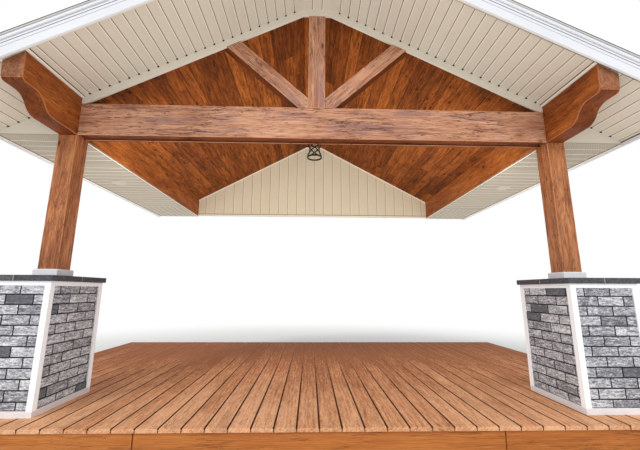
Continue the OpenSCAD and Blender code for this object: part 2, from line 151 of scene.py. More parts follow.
class Sock:
    """A number made by a material's nodes: sums and products of it add Math nodes."""

    NODE = "ShaderNodeMath"

    def __init__(self, tree: "Tree", out: bpy.types.NodeSocket) -> None:
        """Keep the tree and the output socket."""
        self.tree = tree
        self.out = out

    __add__, __radd__ = maths("ADD"), maths("ADD", mirrored=True)
    __sub__, __rsub__ = maths("SUBTRACT"), maths("SUBTRACT", mirrored=True)
    __mul__, __rmul__ = maths("MULTIPLY"), maths("MULTIPLY", mirrored=True)
    __truediv__, __pow__, __abs__ = maths("DIVIDE"), maths("POWER"), maths("ABSOLUTE")
    fraction, most, least = maths("FRACT"), maths("MAXIMUM"), maths("MINIMUM")

    def rise(self, low: float, high: float) -> "Sock":
        """A smooth step from 0 at the low value to 1 at the high one."""
        settings = {"interpolation_type": "SMOOTHSTEP"}
        return self.tree.make("ShaderNodeMapRange", settings, {0: self, 1: low, 2: high})


class Arrow(Sock):
    """A vector made by a material's nodes: sums and products of it add Vector Math nodes."""

    NODE = "ShaderNodeVectorMath"

    def scaled(self, factor: Any) -> "Arrow":
        """This vector times a number."""
        return self.tree.make(self.NODE, {"operation": "SCALE"}, {0: self, "Scale": factor})

    def parts(self) -> tuple[Sock, Sock, Sock]:
        """Split the vector.

        Returns:
            The vector's three numbers.
        """
        split = self.tree.nodes.new("ShaderNodeSeparateXYZ")
        self.tree.links.new(self.out, split.inputs[0])
        return tuple(Sock(self.tree, out) for out in split.outputs)


class Tree:
    """The nodes of one material, or of the world."""

    # Rays that see the background as it is
    RAYS = ("Is Camera Ray", "Is Glossy Ray", "Is Transmission Ray")
    SHIFTS = (31, 17, 23)  # How far a whole tone shifts a pattern along each axis

    def __init__(
        self, owner: bpy.types.Material | bpy.types.World, end: str = "ShaderNodeOutputMaterial",
    ) -> None:
        """Clear the owner's nodes but for an output.

        Args:
            owner: The material or world.
            end: Type of its output node.
        """
        self.owner = owner
        owner.use_nodes = True
        self.nodes = owner.node_tree.nodes
        self.links = owner.node_tree.links
        self.nodes.clear()
        self.end = self.nodes.new(end)

    def finish(self, surface: Sock) -> Any:
        """Join the last shader to the output, and give the material or world."""
        self.links.new(surface.out, self.end.inputs["Surface"])
        return self.owner

    def seen(self) -> Sock:
        """Tell what looks at a surface from the light that falls on it.

        Returns:
            1 where the camera, a gloss or clear glass looks, and 0 elsewhere.
        """
        ray = self.nodes.new("ShaderNodeLightPath")
        first, second, third = (Sock(self, ray.outputs[name]) for name in self.RAYS)
        return (first + second + third).least(1.0)

    def make(
        self, kind: str, settings: dict[str, Any] | None = None,
        inputs: dict[int | str, Any] | None = None, output: int | str = 0,
    ) -> Any:
        """Add any node.

        Args:
            kind: The node's type.
            settings: Its properties, set first; "stops" are a colour ramp's places and colours.
            inputs: Values or links of its sockets, by index or name.
            output: The output that is wanted.

        Returns:
            The output as a Sock, or as an Arrow if it is a vector.
        """
        node = self.nodes.new(kind)
        for name, value in (settings or {}).items():
            if name == "stops":
                self.set_stops(node.color_ramp.elements, value)
            else:
                setattr(node, name, value)
        for key, value in (inputs or {}).items():
            if isinstance(value, Sock):
                self.links.new(value.out, node.inputs[key])
            else:
                node.inputs[key].default_value = value.linear if isinstance(value, Shade) else value
        out = node.outputs[output]
        return (Arrow if out.type == "VECTOR" else Sock)(self, out)

    @staticmethod
    def set_stops(elements: Any, stops: Sequence[tuple[float, Shade]]) -> None:
        """Set a colour ramp's stops.

        Args:
            elements: The ramp's elements.
            stops: Places and colours, in order.
        """
        while len(elements) < len(stops):
            elements.new(1.0)
        for element, (place, shade) in zip(elements, stops, strict=True):
            element.position = place
            element.color = shade.linear

    def place(self, grain: Grain) -> Arrow:
        """Find where a point is on the object.

        Args:
            grain: Way that the grain runs, which is laid along X.

        Returns:
            The place, shifted by the tone of its board or stone, so that each shows its own figure.
        """
        where = self.make("ShaderNodeTexCoord", output="Object")
        tone = self.tone()
        shift = self.make("ShaderNodeCombineXYZ", None, {i: tone * k for i, k in enumerate(self.SHIFTS)})
        if grain is not Grain.ACROSS:
            where = self.make("ShaderNodeMapping", None, {"Vector": where, "Rotation": grain.turn})
        return where + shift

    def tone(self) -> Sock:
        """The tone of the board, stone or tab that a point belongs to, from 0 to 1."""
        return self.make("ShaderNodeAttribute", {"attribute_name": TONE}, None, "Fac")

    def cloud(self, where: Arrow, scale: Point, detail: float = 3.0, rough: float = 0.5) -> Sock:
        """Soft noise about 0.5: features to a metre, octaves, and strength of the finer ones."""
        inputs = {"Vector": where * tuple(scale), "Scale": 1.0, "Detail": detail, "Roughness": rough}
        return self.make("ShaderNodeTexNoise", None, inputs)

    def drift(self, where: Arrow, scale: Point) -> Arrow:
        """Wander about nought from place to place.

        Args:
            where: Place on the object.
            scale: Features to a metre along each axis.

        Returns:
            The wandering vector.
        """
        inputs = {"Vector": where * tuple(scale), "Scale": 1.0, "Detail": 2.0}
        colour = self.make("ShaderNodeTexNoise", None, inputs, 1)
        return Arrow(self, colour.out) - (0.5, 0.5, 0.5)

    def cells(self, where: Arrow, scale: Point, output: int = 0) -> Any:
        """Scattered cells: output 0 is the distance from the nearest centre, in cells."""
        inputs = {"Vector": where * tuple(scale), "Scale": 1.0}
        return self.make("ShaderNodeTexVoronoi", None, inputs, output)

    def mix(self, share: Any, first: Any, second: Any, blend: str = "MIX") -> Sock:
        """A share of the second colour mixed into the first, or laid over it as the blend says."""
        settings = {"data_type": "RGBA", "blend_type": blend, "clamp_factor": True}
        return self.make("ShaderNodeMix", settings, {0: share, 6: first, 7: second}, 2)

    def ramp(self, value: Sock, stops: Sequence[tuple[float, Shade]]) -> Sock:
        """A colour read off a ramp."""
        return self.make("ShaderNodeValToRGB", {"stops": stops}, {0: value})

    def bump(self, height: Sock, distance: float, strength: float = 1.0) -> Arrow:
        """Normals of a surface with this height times distance."""
        inputs = {"Height": height, "Distance": distance, "Strength": strength}
        return self.make("ShaderNodeBump", None, inputs)

    def close(self, **inputs: Any) -> None:
        """End the material with its main shader, whose sockets are named with _ for a space."""
        named = {key.replace("_", " "): value for key, value in inputs.items()}
        self.finish(self.make("ShaderNodeBsdfPrincipled", None, named))


@dataclass(frozen=True)
class Finish:
    """A finish, of which each kind covers a surface in its own way."""

    title: str  # Name of the finish

    def dress(self, grain: Grain) -> bpy.types.Material:
        """Make the finish's material.

        Args:
            grain: Way that the grain runs.

        Returns:
            The material.
        """
        material = bpy.data.materials.new(f"{self.title}_{grain.name.lower()}")
        tree = Tree(material)
        self.cover(tree, tree.place(grain))
        return material

    def cover(self, tree: Tree, where: Arrow) -> None:
        """Make the nodes of the surface.

        Args:
            tree: The material's nodes.
            where: Place on the object, with the grain along X.
        """
        raise NotImplementedError

    def edged(self) -> "Finish":
        """The finish of eased edges: the same, unless it paints light or shade on them."""
        return self


@dataclass(frozen=True)
class Wood(Finish):
    """Stained or oiled wood: its colours, and the sizes of its figure in metres."""

    dark: Shade  # Colour of the late wood and the pores
    middle: Shade  # Colour of most of the surface
    light: Shade  # Colour of the early wood
    aged: Shade  # Colour of weathered patches
    knot: Shade  # Colour of knots, marks and cracks
    edge: Shade  # Colour of eased edges: lighter on the timbers, a painted highlight; darker on the deck, rim and ceiling boards, painted shade in their joints
    spread: float = 0.3  # How far boards differ in tone
    ring_gap: float = 0.011  # Distance between growth rings
    fibre: float = 0.004  # Width of the fibres
    streak: Pair = (0.38, 0.05)  # Length and width of the streaks
    patch: Pair = (0.45, 0.09)  # Length and width of the weathered patches
    knot_gap: float = 0.5  # Distance between knots along the grain
    knot_r: float = 0.014  # Radius of a knot
    ageing: float = 0.4  # Share of the aged colour in weathered patches
    cracking: float = 0.6  # Depth of colour in the cracks
    marking: float = 0.6  # Depth of colour in short dark marks
    contrast: float = 1.0  # How far the fibres and streaks differ in tone
    gloss: float = 0.55  # Roughness of the surface
    sheen: float = 0.25  # Strength of the reflections
    relief: float = 0.0012  # Height of the grain
    fade: Pair | None = None  # Where, from front to back, the wood turns from lighter to darker, painted light and shade, if it does
    # How much lighter the painted light makes the front, and how much of that is lost on the way back
    fading: Pair = (0.28, 0.75)
    sway: float = 0.03  # How far the fibres sway from a straight line
    pith: Pair = (-0.11, -0.07)  # Where the middle of the rings lies, across the grain

    def edged(self) -> "Wood":
        """The finish of this wood's eased edges, in the edge colour: a painted highlight or painted shade.
        """
        title = f"{self.title}_edge"
        return replace(self, title=title, dark=self.middle, middle=self.edge, light=self.edge, ageing=0.2)

    def cover(self, tree: Tree, where: Arrow) -> None:
        """Make the rings, fibres, streaks, knots, cracks and weathered patches.

        Args:
            tree: The material's nodes.
            where: Place on the object, with the grain along X.
        """
        tone = tree.tone()
        swayed = where + tree.drift(where, (0.9, 2.5, 2.5)) * (0.0, self.sway, self.sway)

        across = 2.2 / self.knot_gap
        near = tree.cells(where, (1 / self.knot_gap, across, across))
        reach = self.knot_r * across
        knot = 1 - near.rise(reach * 0.6, reach * 1.15)
        swirl = (1 - near.rise(0.0, reach * 5)) ** 2

        _, side, up = (swayed - (0.0, *self.pith)).parts()
        radius = (side * side + up * up) ** 0.5
        ring = (radius / self.ring_gap + swirl * 2.5 + tree.cloud(where, (1.5, 9, 9), 2) * 2.0).fraction()
        late = ring.rise(0.35, 0.9) * (1 - ring.rise(0.93, 1.0))

        fine = 1 / self.fibre
        long, thick = 1 / self.streak[0], 1 / self.streak[1]
        fibres = tree.cloud(swayed, (fine / 30, fine, fine), 3, 0.6)
        figure = tree.cloud(swayed, (long * 3.2, thick * 3.2, thick * 3.2), 3, 0.65)
        streaks = tree.cloud(swayed, (long, thick, thick), 3, 0.6)
        broad = tree.cloud(where, (0.9, 4.0, 4.0), 2)
        scale = (1 / self.patch[0], 1 / self.patch[1], 1 / self.patch[1])
        patch = tree.cloud(swayed + (4.0, 2.0, 1.0), scale, 4, 0.62).rise(0.5, 0.68)
        marks = tree.cloud(swayed + (7.0, 1.0, 3.0), (long * 6, thick * 3.6, thick * 3.6), 3, 0.7)
        marks = marks.rise(0.57, 0.63) * tree.cloud(where, (3.0, 6.0, 6.0), 2).rise(0.4, 0.55)
        line = abs(tree.cloud(swayed + (2.0, 0.0, 0.0), (1.6, 20, 20), 4, 0.6) - 0.5)
        crack = (1 - line.rise(0.0, 0.018)) * tree.cloud(where, (1.8, 5, 5), 2).rise(0.46, 0.56)

        shade = 0.5 + ((fibres - 0.5) * 0.7 + (figure - 0.5) * 0.9 + (streaks - 0.5) * 0.9) * self.contrast
        shade = shade + (broad - 0.5) * 0.6 - late * self.contrast * 0.15 + (tone - 0.5) * self.spread
        # Painted light: lighter at the front of the deck and darker towards the back
        if self.fade:
            _, depth, _ = tree.make("ShaderNodeTexCoord", output="Object").parts()
            shade = shade + self.fading[0] - depth.rise(*self.fade) * self.fading[1]
        colour = tree.ramp(shade, [(0.14, self.dark), (0.5, self.middle), (0.86, self.light)])
        colour = tree.mix(patch * self.ageing, colour, self.aged)
        colour = tree.mix(swirl * 0.5, colour, self.dark)
        colour = tree.mix(knot * 0.85, colour, self.knot)
        colour = tree.mix((crack * self.cracking).most(marks * self.marking), colour, self.knot)

        height = fibres * 0.6 + figure * 0.5 - late * 0.25 - crack * 1.6 - marks * 0.8 - knot * 0.4
        rough = (self.gloss + (fibres - 0.5) * 0.3 + patch * 0.1 - knot * 0.1).most(0.2).least(0.95)
        normal = tree.bump(height, self.relief)
        tree.close(Base_Color=colour, Roughness=rough, Specular_IOR_Level=self.sheen, Normal=normal)


@dataclass(frozen=True)
class Stone(Finish):
    """Split stone of one colour family, with a tone for each block."""

    dark: Shade  # Colour of the hollows and of the darkest blocks
    middle: Shade  # Colour of most of the stone
    light: Shade  # Colour of the crests
    relief: float = 0.003  # Height of the grit
    gloss: float = 0.9  # Roughness of the surface
    flow: float = 1.0  # Strength of the wavy bands along a block

    def cover(self, tree: Tree, where: Arrow) -> None:
        """Make the bands, lumps, crests and grit.

        Args:
            tree: The material's nodes.
            where: Place on the object.
        """
        tone = tree.tone()
        bent = where + tree.drift(where, (12, 12, 12)).scaled(0.035)
        bands = tree.cloud(bent, (13, 13, 80), 3, 0.6)
        grit = tree.cloud(where, (330, 330, 330), 2, 0.7)
        lumps = tree.cloud(where, (60, 60, 80), 3, 0.6)
        crests = tree.cloud(bent + (1.0, 3.0, 2.0), (22, 22, 75), 3, 0.6).rise(0.53, 0.64)
        flecks = tree.cloud(where + (1.0, 3.0, 2.0), (110, 110, 150), 2).rise(0.58, 0.7)
        darkest = 1 - tone.rise(0.08, 0.1)

        shade = 0.5 + (bands - 0.5) * 1.2 * self.flow + (grit - 0.5) * 1.0 + (lumps - 0.5) * 1.0
        shade = shade + (tone - 0.5) * 0.3
        colour = tree.ramp(shade, [(0.1, self.dark), (0.5, self.middle), (0.9, self.light)])
        colour = tree.mix(flecks * 0.35 + crests * 0.6 * self.flow, colour, self.light)
        colour = tree.mix(darkest * 0.75, colour, self.dark)
        height = bands * self.flow + lumps + grit * 0.5
        normal = tree.bump(height, self.relief)
        rough = (self.gloss + (grit - 0.5) * 0.2).least(1.0)
        tree.close(Base_Color=colour, Roughness=rough, Specular_IOR_Level=0.3, Normal=normal)


@dataclass(frozen=True)
class Paint(Finish):
    """Painted or coated surfaces, where a low tone paints shade in a groove and a high one paints a
    highlight on a raised edge.
    """

    clean: Shade  # Colour of the clean surface
    soiled: Shade  # Colour where dust has settled
    soiling: float = 0.35  # How far the dust covers
    gloss: float = 0.6  # Roughness of the surface
    relief: float = 0.0003  # Height of the texture
    grit: float = 120.0  # Texture features to a metre
    groove: Shade = Shade(70, 64, 56)  # Colour in the grooves, painted shade
    edge: Shade = Shade(252, 248, 238)  # Colour of the raised edges, a painted highlight
    vents: Pair | None = None  # Distances between vent holes across and front to back, if it has them
    vent_r: Pair = (0.0028, 0.0046)  # Radius of a hole where its edge starts and where it ends

    def cover(self, tree: Tree, where: Arrow) -> None:
        """Make the dust, the faint lengthwise runs, the painted shade in the grooves and the painted
        highlight on the raised edges.

        Args:
            tree: The material's nodes.
            where: Place on the object, with the moulded texture along X.
        """
        dust_and_shade = tree.cloud(where, (1.3, 3, 3), 4, 0.6).rise(0.42, 0.75)
        runs = tree.cloud(where, (3, 45, 45), 3, 0.6)
        fine = tree.cloud(where, (self.grit * 0.15, self.grit, self.grit), 3, 0.6)
        tone = tree.tone()
        share = dust_and_shade * self.soiling + (runs - 0.5) * 0.3
        colour = tree.mix(share.most(0.0), self.clean, self.soiled)
        # Low tones get the groove colour, painted shade; high tones later get the edge colour, a painted
        # highlight
        colour = tree.mix(1 - tone.rise(0.05, 0.35), colour, self.groove)
        if self.vents:
            colour = tree.mix(self.holes(where), colour, self.groove)
        colour = tree.mix(tone.rise(0.65, 0.95), colour, self.edge)
        rough = (self.gloss + (fine - 0.5) * 0.2 + dust_and_shade * 0.12).most(0.1)
        normal = tree.bump(fine + runs * 0.6, self.relief)
        tree.close(Base_Color=colour, Roughness=rough, Specular_IOR_Level=0.3, Normal=normal)

    def holes(self, where: Arrow) -> Sock:
        """Mark the rows of small round vent holes as painted dark dots, standing for the holes and the
        shade inside them.

        Args:
            where: Place on the object.

        Returns:
            1 in a hole, and 0 elsewhere.
        """
        across, back = self.vents
        x, y, _ = where.parts()
        x = ((x / across).fraction() - 0.5) * across
        y = ((y / back).fraction() - 0.5) * back
        return 1 - ((x * x + y * y) ** 0.5).rise(*self.vent_r)


@dataclass(frozen=True)
class Shingle(Finish):
    """Asphalt shingles: dark granules of several tones."""

    dark: Shade  # Colour of the darkest granules
    light: Shade  # Colour of the lightest granules
    grit: float = 420.0  # Granules to a metre
    relief: float = 0.0012  # Height of the granules

    def cover(self, tree: Tree, where: Arrow) -> None:
        """Make the granules.

        Args:
            tree: The material's nodes.
            where: Place on the object.
        """
        granule = tree.cells(where, (self.grit, self.grit, self.grit), 1)
        speck = tree.make("ShaderNodeSeparateColor", None, {0: granule})
        worn = tree.cloud(where, (3, 3, 3), 4)
        shade = speck * 0.6 + tree.tone() * 0.35 + (worn - 0.5) * 0.5
        colour = tree.ramp(shade, [(0.05, self.dark), (0.95, self.light)])
        normal = tree.bump(tree.cells(where, (self.grit, self.grit, self.grit)), self.relief)
        tree.close(Base_Color=colour, Roughness=0.95 - worn * 0.1, Normal=normal)


@dataclass(frozen=True)
class Metal(Finish):
    """Powder-coated metal."""

    coat: Shade  # Colour of the coating
    rubbed: Shade  # Colour where it is rubbed or dusty
    relief: float = 0.0004  # Height of the coating's ripples

    def cover(self, tree: Tree, where: Arrow) -> None:
        """Make the coating's ripples and its rubbed places.

        Args:
            tree: The material's nodes.
            where: Place on the object.
        """
        peel = tree.cloud(where, (260, 260, 260), 3)
        rub = tree.cloud(where, (25, 25, 25), 4).rise(0.5, 0.75)
        colour = tree.mix(rub * 0.5, self.coat, self.rubbed)
        rough = 0.38 + (peel - 0.5) * 0.2 + rub * 0.15
        normal = tree.bump(peel, self.relief)
        tree.close(Base_Color=colour, Metallic=0.3, Roughness=rough, Normal=normal)


@dataclass(frozen=True)
class Glass(Finish):
    """Clear or frosted glass."""

    tint: Shade  # Colour of the glass
    seeds: Shade = Shade(200, 215, 215)  # Colour of the small bubbles in it
    gloss: float = 0.02  # Roughness of the surface
    relief: float = 0.0012  # Height of the seeds and ripples

    def cover(self, tree: Tree, where: Arrow) -> None:
        """Make the glass with its ripples and seeds.

        Args:
            tree: The material's nodes.
            where: Place on the object.
        """
        ripple = tree.cloud(where, (22, 22, 12), 3)
        seed = 1 - tree.cells(where, (90, 90, 60)).rise(0.05, 0.16)
        inputs = {
            "Base Color": tree.mix(seed * 0.3, self.tint, self.seeds),
            "Roughness": self.gloss + ripple * 0.02,
            "Normal": tree.bump(ripple + seed * 0.6, self.relief),
        }
        tree.close(**inputs, Transmission_Weight=1.0, IOR=1.45)


TRUSS_WOOD = Wood(
    "truss_wood", dark=Shade(156, 98, 72), middle=Shade(208, 152, 120), light=Shade(234, 184, 152),
    aged=Shade(156, 120, 116), knot=Shade(88, 52, 42), edge=Shade(220, 156, 114), ageing=0.7,
    knot_r=0.02, marking=0.8, cracking=0.9, streak=(0.45, 0.04), patch=(0.5, 0.08),
)
POST_WOOD = Wood(
    "post_wood", dark=Shade(128, 68, 38), middle=Shade(188, 120, 76), light=Shade(220, 156, 108),
    aged=Shade(150, 102, 76), knot=Shade(74, 38, 24), edge=Shade(206, 138, 90), ageing=0.5,
    knot_gap=0.45, knot_r=0.018, gloss=0.5, streak=(0.4, 0.05), marking=0.7,
)
TAIL_WOOD = replace(
    POST_WOOD, title="tail_wood", dark=Shade(118, 66, 38), middle=Shade(168, 108, 74),
    light=Shade(208, 150, 108), aged=Shade(128, 88, 70), knot=Shade(66, 34, 22), edge=Shade(178, 106, 62),
)
# Darker copies of the timber wood for sheltered faces and undersides: painted shade
SHELTERED_SHADE_WOOD = Wood(
    "sheltered_shade_wood", dark=Shade(112, 54, 20), middle=Shade(168, 92, 40), light=Shade(206, 130, 66),
    aged=Shade(118, 66, 36), knot=Shade(60, 28, 12), edge=Shade(200, 126, 70), contrast=0.8,
    knot_gap=0.4, knot_r=0.018, gloss=0.5, sheen=0.15, streak=(0.3, 0.045),
)
UNDER_SHADE_WOOD = replace(
    SHELTERED_SHADE_WOOD, title="under_shade_wood", dark=Shade(84, 38, 14), middle=Shade(130, 66, 28),
    light=Shade(166, 96, 50), aged=Shade(92, 50, 28), knot=Shade(50, 24, 10), edge=Shade(190, 120, 70),
    gloss=0.55, sheen=0.12,
)
CEILING_WOOD = Wood(
    "ceiling_wood", dark=Shade(92, 44, 14), middle=Shade(140, 73, 27), light=Shade(182, 104, 43),
    aged=Shade(68, 34, 14), knot=Shade(42, 19, 7), edge=Shade(66, 31, 11), spread=0.34, ageing=0.6,
    patch=(0.3, 0.04), knot_gap=0.3, knot_r=0.015, contrast=0.85, gloss=0.6, sheen=0.1,
    marking=0.7, streak=(0.3, 0.03),
)
DECK_WOOD = Wood(
    "deck_wood", dark=Shade(158, 96, 56), middle=Shade(216, 151, 106), light=Shade(246, 190, 146),
    aged=Shade(182, 128, 96), knot=Shade(110, 62, 38), edge=Shade(92, 46, 24), spread=0.2, ring_gap=0.02,
    fibre=0.003, streak=(0.2, 0.022), patch=(0.5, 0.1), knot_gap=1.6, knot_r=0.008, ageing=0.45,
    cracking=0.4, gloss=0.7, sheen=0.15, relief=0.0007, fade=(-1.9, 1.6),
)
RIM_WOOD = Wood(
    "rim_wood", dark=Shade(152, 84, 34), middle=Shade(194, 116, 54), light=Shade(220, 148, 80),
    aged=Shade(170, 102, 54), knot=Shade(104, 52, 22), edge=Shade(104, 50, 20), spread=0.2, ageing=0.3,
    knot_gap=1.2, knot_r=0.012, contrast=0.6, cracking=0.4, streak=(0.6, 0.022), marking=0.4,
)
SAWN_WOOD = Wood(
    "sawn_wood", dark=Shade(168, 134, 92), middle=Shade(206, 176, 130), light=Shade(228, 204, 164),
    aged=Shade(160, 146, 124), knot=Shade(112, 74, 44), edge=Shade(228, 204, 164), gloss=0.75, knot_gap=0.6,
)
LEDGE_STONE = Stone(
    "ledge_stone", dark=Shade(84, 85, 92), middle=Shade(140, 141, 148), light=Shade(232, 233, 238),
)
CAP_STONE = Stone(
    "cap_stone", dark=Shade(50, 51, 56), middle=Shade(74, 74, 80), light=Shade(118, 117, 122),
    relief=0.0012, flow=0.3,
)
MORTAR = Stone(
    "mortar", dark=Shade(22, 23, 28), middle=Shade(36, 37, 44), light=Shade(58, 60, 68),
    relief=0.001, flow=0.2,
)
POINTING = Stone(
    "pointing", dark=Shade(150, 142, 132), middle=Shade(188, 180, 170), light=Shade(214, 208, 198),
    relief=0.0006, flow=0.1,
)
CONCRETE = Stone(
    "concrete", dark=Shade(128, 126, 120), middle=Shade(164, 162, 156), light=Shade(192, 190, 184),
    relief=0.0012, flow=0.15,
)
TRIM_WHITE = Paint("trim_white", clean=Shade(247, 249, 253), soiled=Shade(229, 229, 231))
FASCIA_WHITE = Paint(
    "fascia_white", clean=Shade(236, 238, 243), soiled=Shade(218, 221, 228), soiling=0.25, gloss=0.65,
    groove=Shade(104, 106, 116), edge=Shade(250, 251, 253),
)
DRIP_GREY = Paint("drip_grey", clean=Shade(214, 211, 208), soiled=Shade(196, 192, 188))
SOFFIT_TAN = Paint("soffit_tan", clean=Shade(220, 212, 197), soiled=Shade(206, 197, 180))
EAVE_TAN = Paint("eave_tan", clean=Shade(186, 177, 160), soiled=Shade(170, 160, 142))
VENTED_TAN = replace(EAVE_TAN, title="vented_tan", vents=(0.018, 0.02075))
GABLE_TRIM = Paint("gable_trim", clean=Shade(255, 246, 226), soiled=Shade(244, 232, 208))
FRIEZE_CREAM = Paint("frieze_cream", clean=Shade(231, 223, 209), soiled=Shade(211, 203, 188))
SIDING_CREAM = Paint(
    "siding_cream", clean=Shade(231, 221, 194), soiled=Shade(219, 206, 176),
    groove=Shade(140, 120, 78), edge=Shade(240, 232, 204),
)
LAMP_WHITE = Paint(
    "lamp_white", clean=Shade(208, 199, 184), soiled=Shade(196, 187, 171), soiling=0.15, gloss=0.5,
)
POCKET_SHADE = Paint("pocket_shade", clean=Shade(40, 36, 32), soiled=Shade(26, 24, 22), gloss=0.8)
GAP_SHADE_BROWN = Paint("gap_shade_brown", clean=Shade(62, 32, 18), soiled=Shade(44, 22, 13), gloss=0.9)
RECESS_BROWN = Paint("recess_brown", clean=Shade(52, 24, 12), soiled=Shade(36, 16, 8), gloss=0.8)
SCREW_DARK = Metal("screw_dark", coat=Shade(70, 44, 32), rubbed=Shade(100, 68, 50))
LANTERN_BLACK = Metal("lantern_black", coat=Shade(9, 9, 9), rubbed=Shade(30, 28, 26))
ROOF_DARK = Shingle("roof_dark", dark=Shade(38, 38, 40), light=Shade(112, 110, 108))
SHINGLE_END_SHADE = Shingle("shingle_end_shade", dark=Shade(26, 28, 33), light=Shade(54, 57, 64))
LANTERN_CLEAR = Glass("lantern_clear", tint=Shade(248, 252, 252))
BULB_FROST = Glass("bulb_frost", tint=Shade(252, 250, 244), gloss=0.45, relief=0.0002)


@functools.cache
def finished(finish: Finish, grain: Grain) -> bpy.types.Material:
    """The material of a finish, made once for each way that the grain runs."""
    return finish.dress(grain)


def deep(side: Side = Side.RIGHT) -> Lift:
    """Places an outline in X and Z and draws it out along Y, on either side."""
    return lambda a, b, t: (side.value * a, t, b)


def wide(side: Side = Side.RIGHT) -> Lift:
    """Places an outline in Y and Z and draws it out along X, on either side."""
    return lambda a, b, t: (side.value * t, a, b)


@dataclass
class Shape:
    """Solids that become one piece, each with a tone that its finish reads."""

    points: list[Vector] = field(default_factory=list)  # Corners of all the solids
    faces: list[tuple[int, ...]] = field(default_factory=list)  # Their faces, as lists of corners
    tones: list[float] = field(default_factory=list)  # The tone of each corner

    def add(self, points: Iterable[Point], faces: Iterable[Sequence[int]], tone: Tones = PLAIN) -> None:
        """Add one closed solid.

        Args:
            points: Its corners.
            faces: Its faces, counted from its own first corner.
            tone: Its tone, or one for each corner.
        """
        start = len(self.points)
        self.points += [Vector(point) for point in points]
        self.faces += [tuple(start + i for i in face) for face in faces]
        self.tones += tone if isinstance(tone, list) else [tone] * (len(self.points) - start)

    def loft(self, rings: Sequence[Sequence[Point]], tone: Tones = PLAIN) -> None:
        """Add a solid through rings of as many points each.

        Args:
            rings: The rings, from one end to the other.
            tone: Its tone, or one for each corner.
        """
        n = len(rings[0])
        faces = [tuple(range(n)), tuple(range((len(rings) - 1) * n, len(rings) * n))]
        for low in range(0, (len(rings) - 1) * n, n):
            faces += [(low + i, low + (i + 1) % n, low + n + (i + 1) % n, low + n + i) for i in range(n)]
        self.add([point for ring in rings for point in ring], faces, tone)

    def prism(self, outline: Outline, lift: Lift, start: float, end: float, tone: float = PLAIN) -> None:
        """Add an outline drawn out along one axis, where a corner's third number is its own tone."""
        tones = [corner[2] if len(corner) > 2 else tone for corner in outline]
        self.loft([[lift(corner[0], corner[1], t) for corner in outline] for t in (start, end)], tones * 2)

    def block(self, low: Point, high: Point, tone: float = PLAIN, turn: Matrix | None = None) -> None:
        """Add a block between two corners.

        Args:
            low: Its lowest corner.
            high: Its highest corner.
            tone: Its tone.
            turn: Where the block's own frame lies.
        """
        place = turn or Matrix()
        corners = [(low[0], low[1]), (high[0], low[1]), (high[0], high[1]), (low[0], high[1])]
        self.loft([[place @ Vector((x, y, z)) for x, y in corners] for z in (low[2], high[2])], tone)

    def piece(
        self, name: str, finish: Finish, grain: Grain, slot: str, replaces: Sequence[str] = (),
        arris: float = 0.0,
    ) -> bpy.types.Object:
        """Make the solids one piece of the object.

        Args:
            name: The piece's name.
            finish: Its finish.
            grain: Way that its grain runs.
            slot: The record's material slot; not used.
            replaces: CAD nodes that it stands for.
            arris: Width of the chamfer on its edges.

        Returns:
            The piece.
        """
        body = bmesh.new()
        layer = body.verts.layers.float.new(TONE)
        corners = [body.verts.new(point) for point in self.points]
        for corner, tone in zip(corners, self.tones, strict=True):
            corner[layer] = tone
        for face in self.faces:
            body.faces.new([corners[i] for i in face])
        bmesh.ops.recalc_face_normals(body, faces=body.faces)
        if arris:
            chamfer(body, arris)
        return shown(body, name, finish, grain, replaces)


def chamfer(body: bmesh.types.BMesh, width: float, segments: int = 1) -> None:
    """Ease the outward edges of a mesh, and give the new faces the piece's second finish.

    Args:
        body: The mesh.
        width: Width of the chamfer.
        segments: Steps that make up a rounded one.
    """
    sharp = [edge for edge in body.edges if edge.is_convex and edge.calc_face_angle(0.0) > SHARP]
    bmesh.ops.bevel(
        body, geom=sharp, offset=width, segments=segments, profile=0.5, affect="EDGES",
        clamp_overlap=True, material=1,
    )


def shown(
    body: bmesh.types.BMesh, name: str, finish: Finish, grain: Grain,
    replaces: Sequence[str],
) -> bpy.types.Object:
    """Turn a mesh into a piece that rides on the canopy.

    Args:
        body: The mesh, which is freed.
        name: The piece's name.
        finish: Its finish.
        grain: Way that its grain runs.
        replaces: CAD nodes that it stands for.

    Returns:
        The piece.
    """
    mesh = bpy.data.meshes.new(name)
    body.to_mesh(mesh)
    body.free()
    mesh.polygons.foreach_set("use_smooth", [True] * len(mesh.polygons))
    mesh.set_sharp_from_angle(angle=SMOOTH)
    mesh.materials.append(finished(finish, grain))
    mesh.materials.append(finished(finish.edged(), grain))
    piece = bpy.data.objects.new(name, mesh)
    bpy.context.scene.collection.objects.link(piece)
    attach(piece, ROOT)
    if replaces:
        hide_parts(*replaces)
    LOG.info("%s: %d faces", name, len(mesh.polygons))
    return piece


def paint_node(node: str, finish: Finish, grain: Grain) -> None:
    """Give a CAD node that keeps its shape its finish.

    Args:
        node: The node's name.
        finish: Its finish.
        grain: Way that its grain runs.
    """
    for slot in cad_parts[node].material_slots:
        slot.material = finished(finish, grain)
    LOG.info("%s: CAD shape", node)


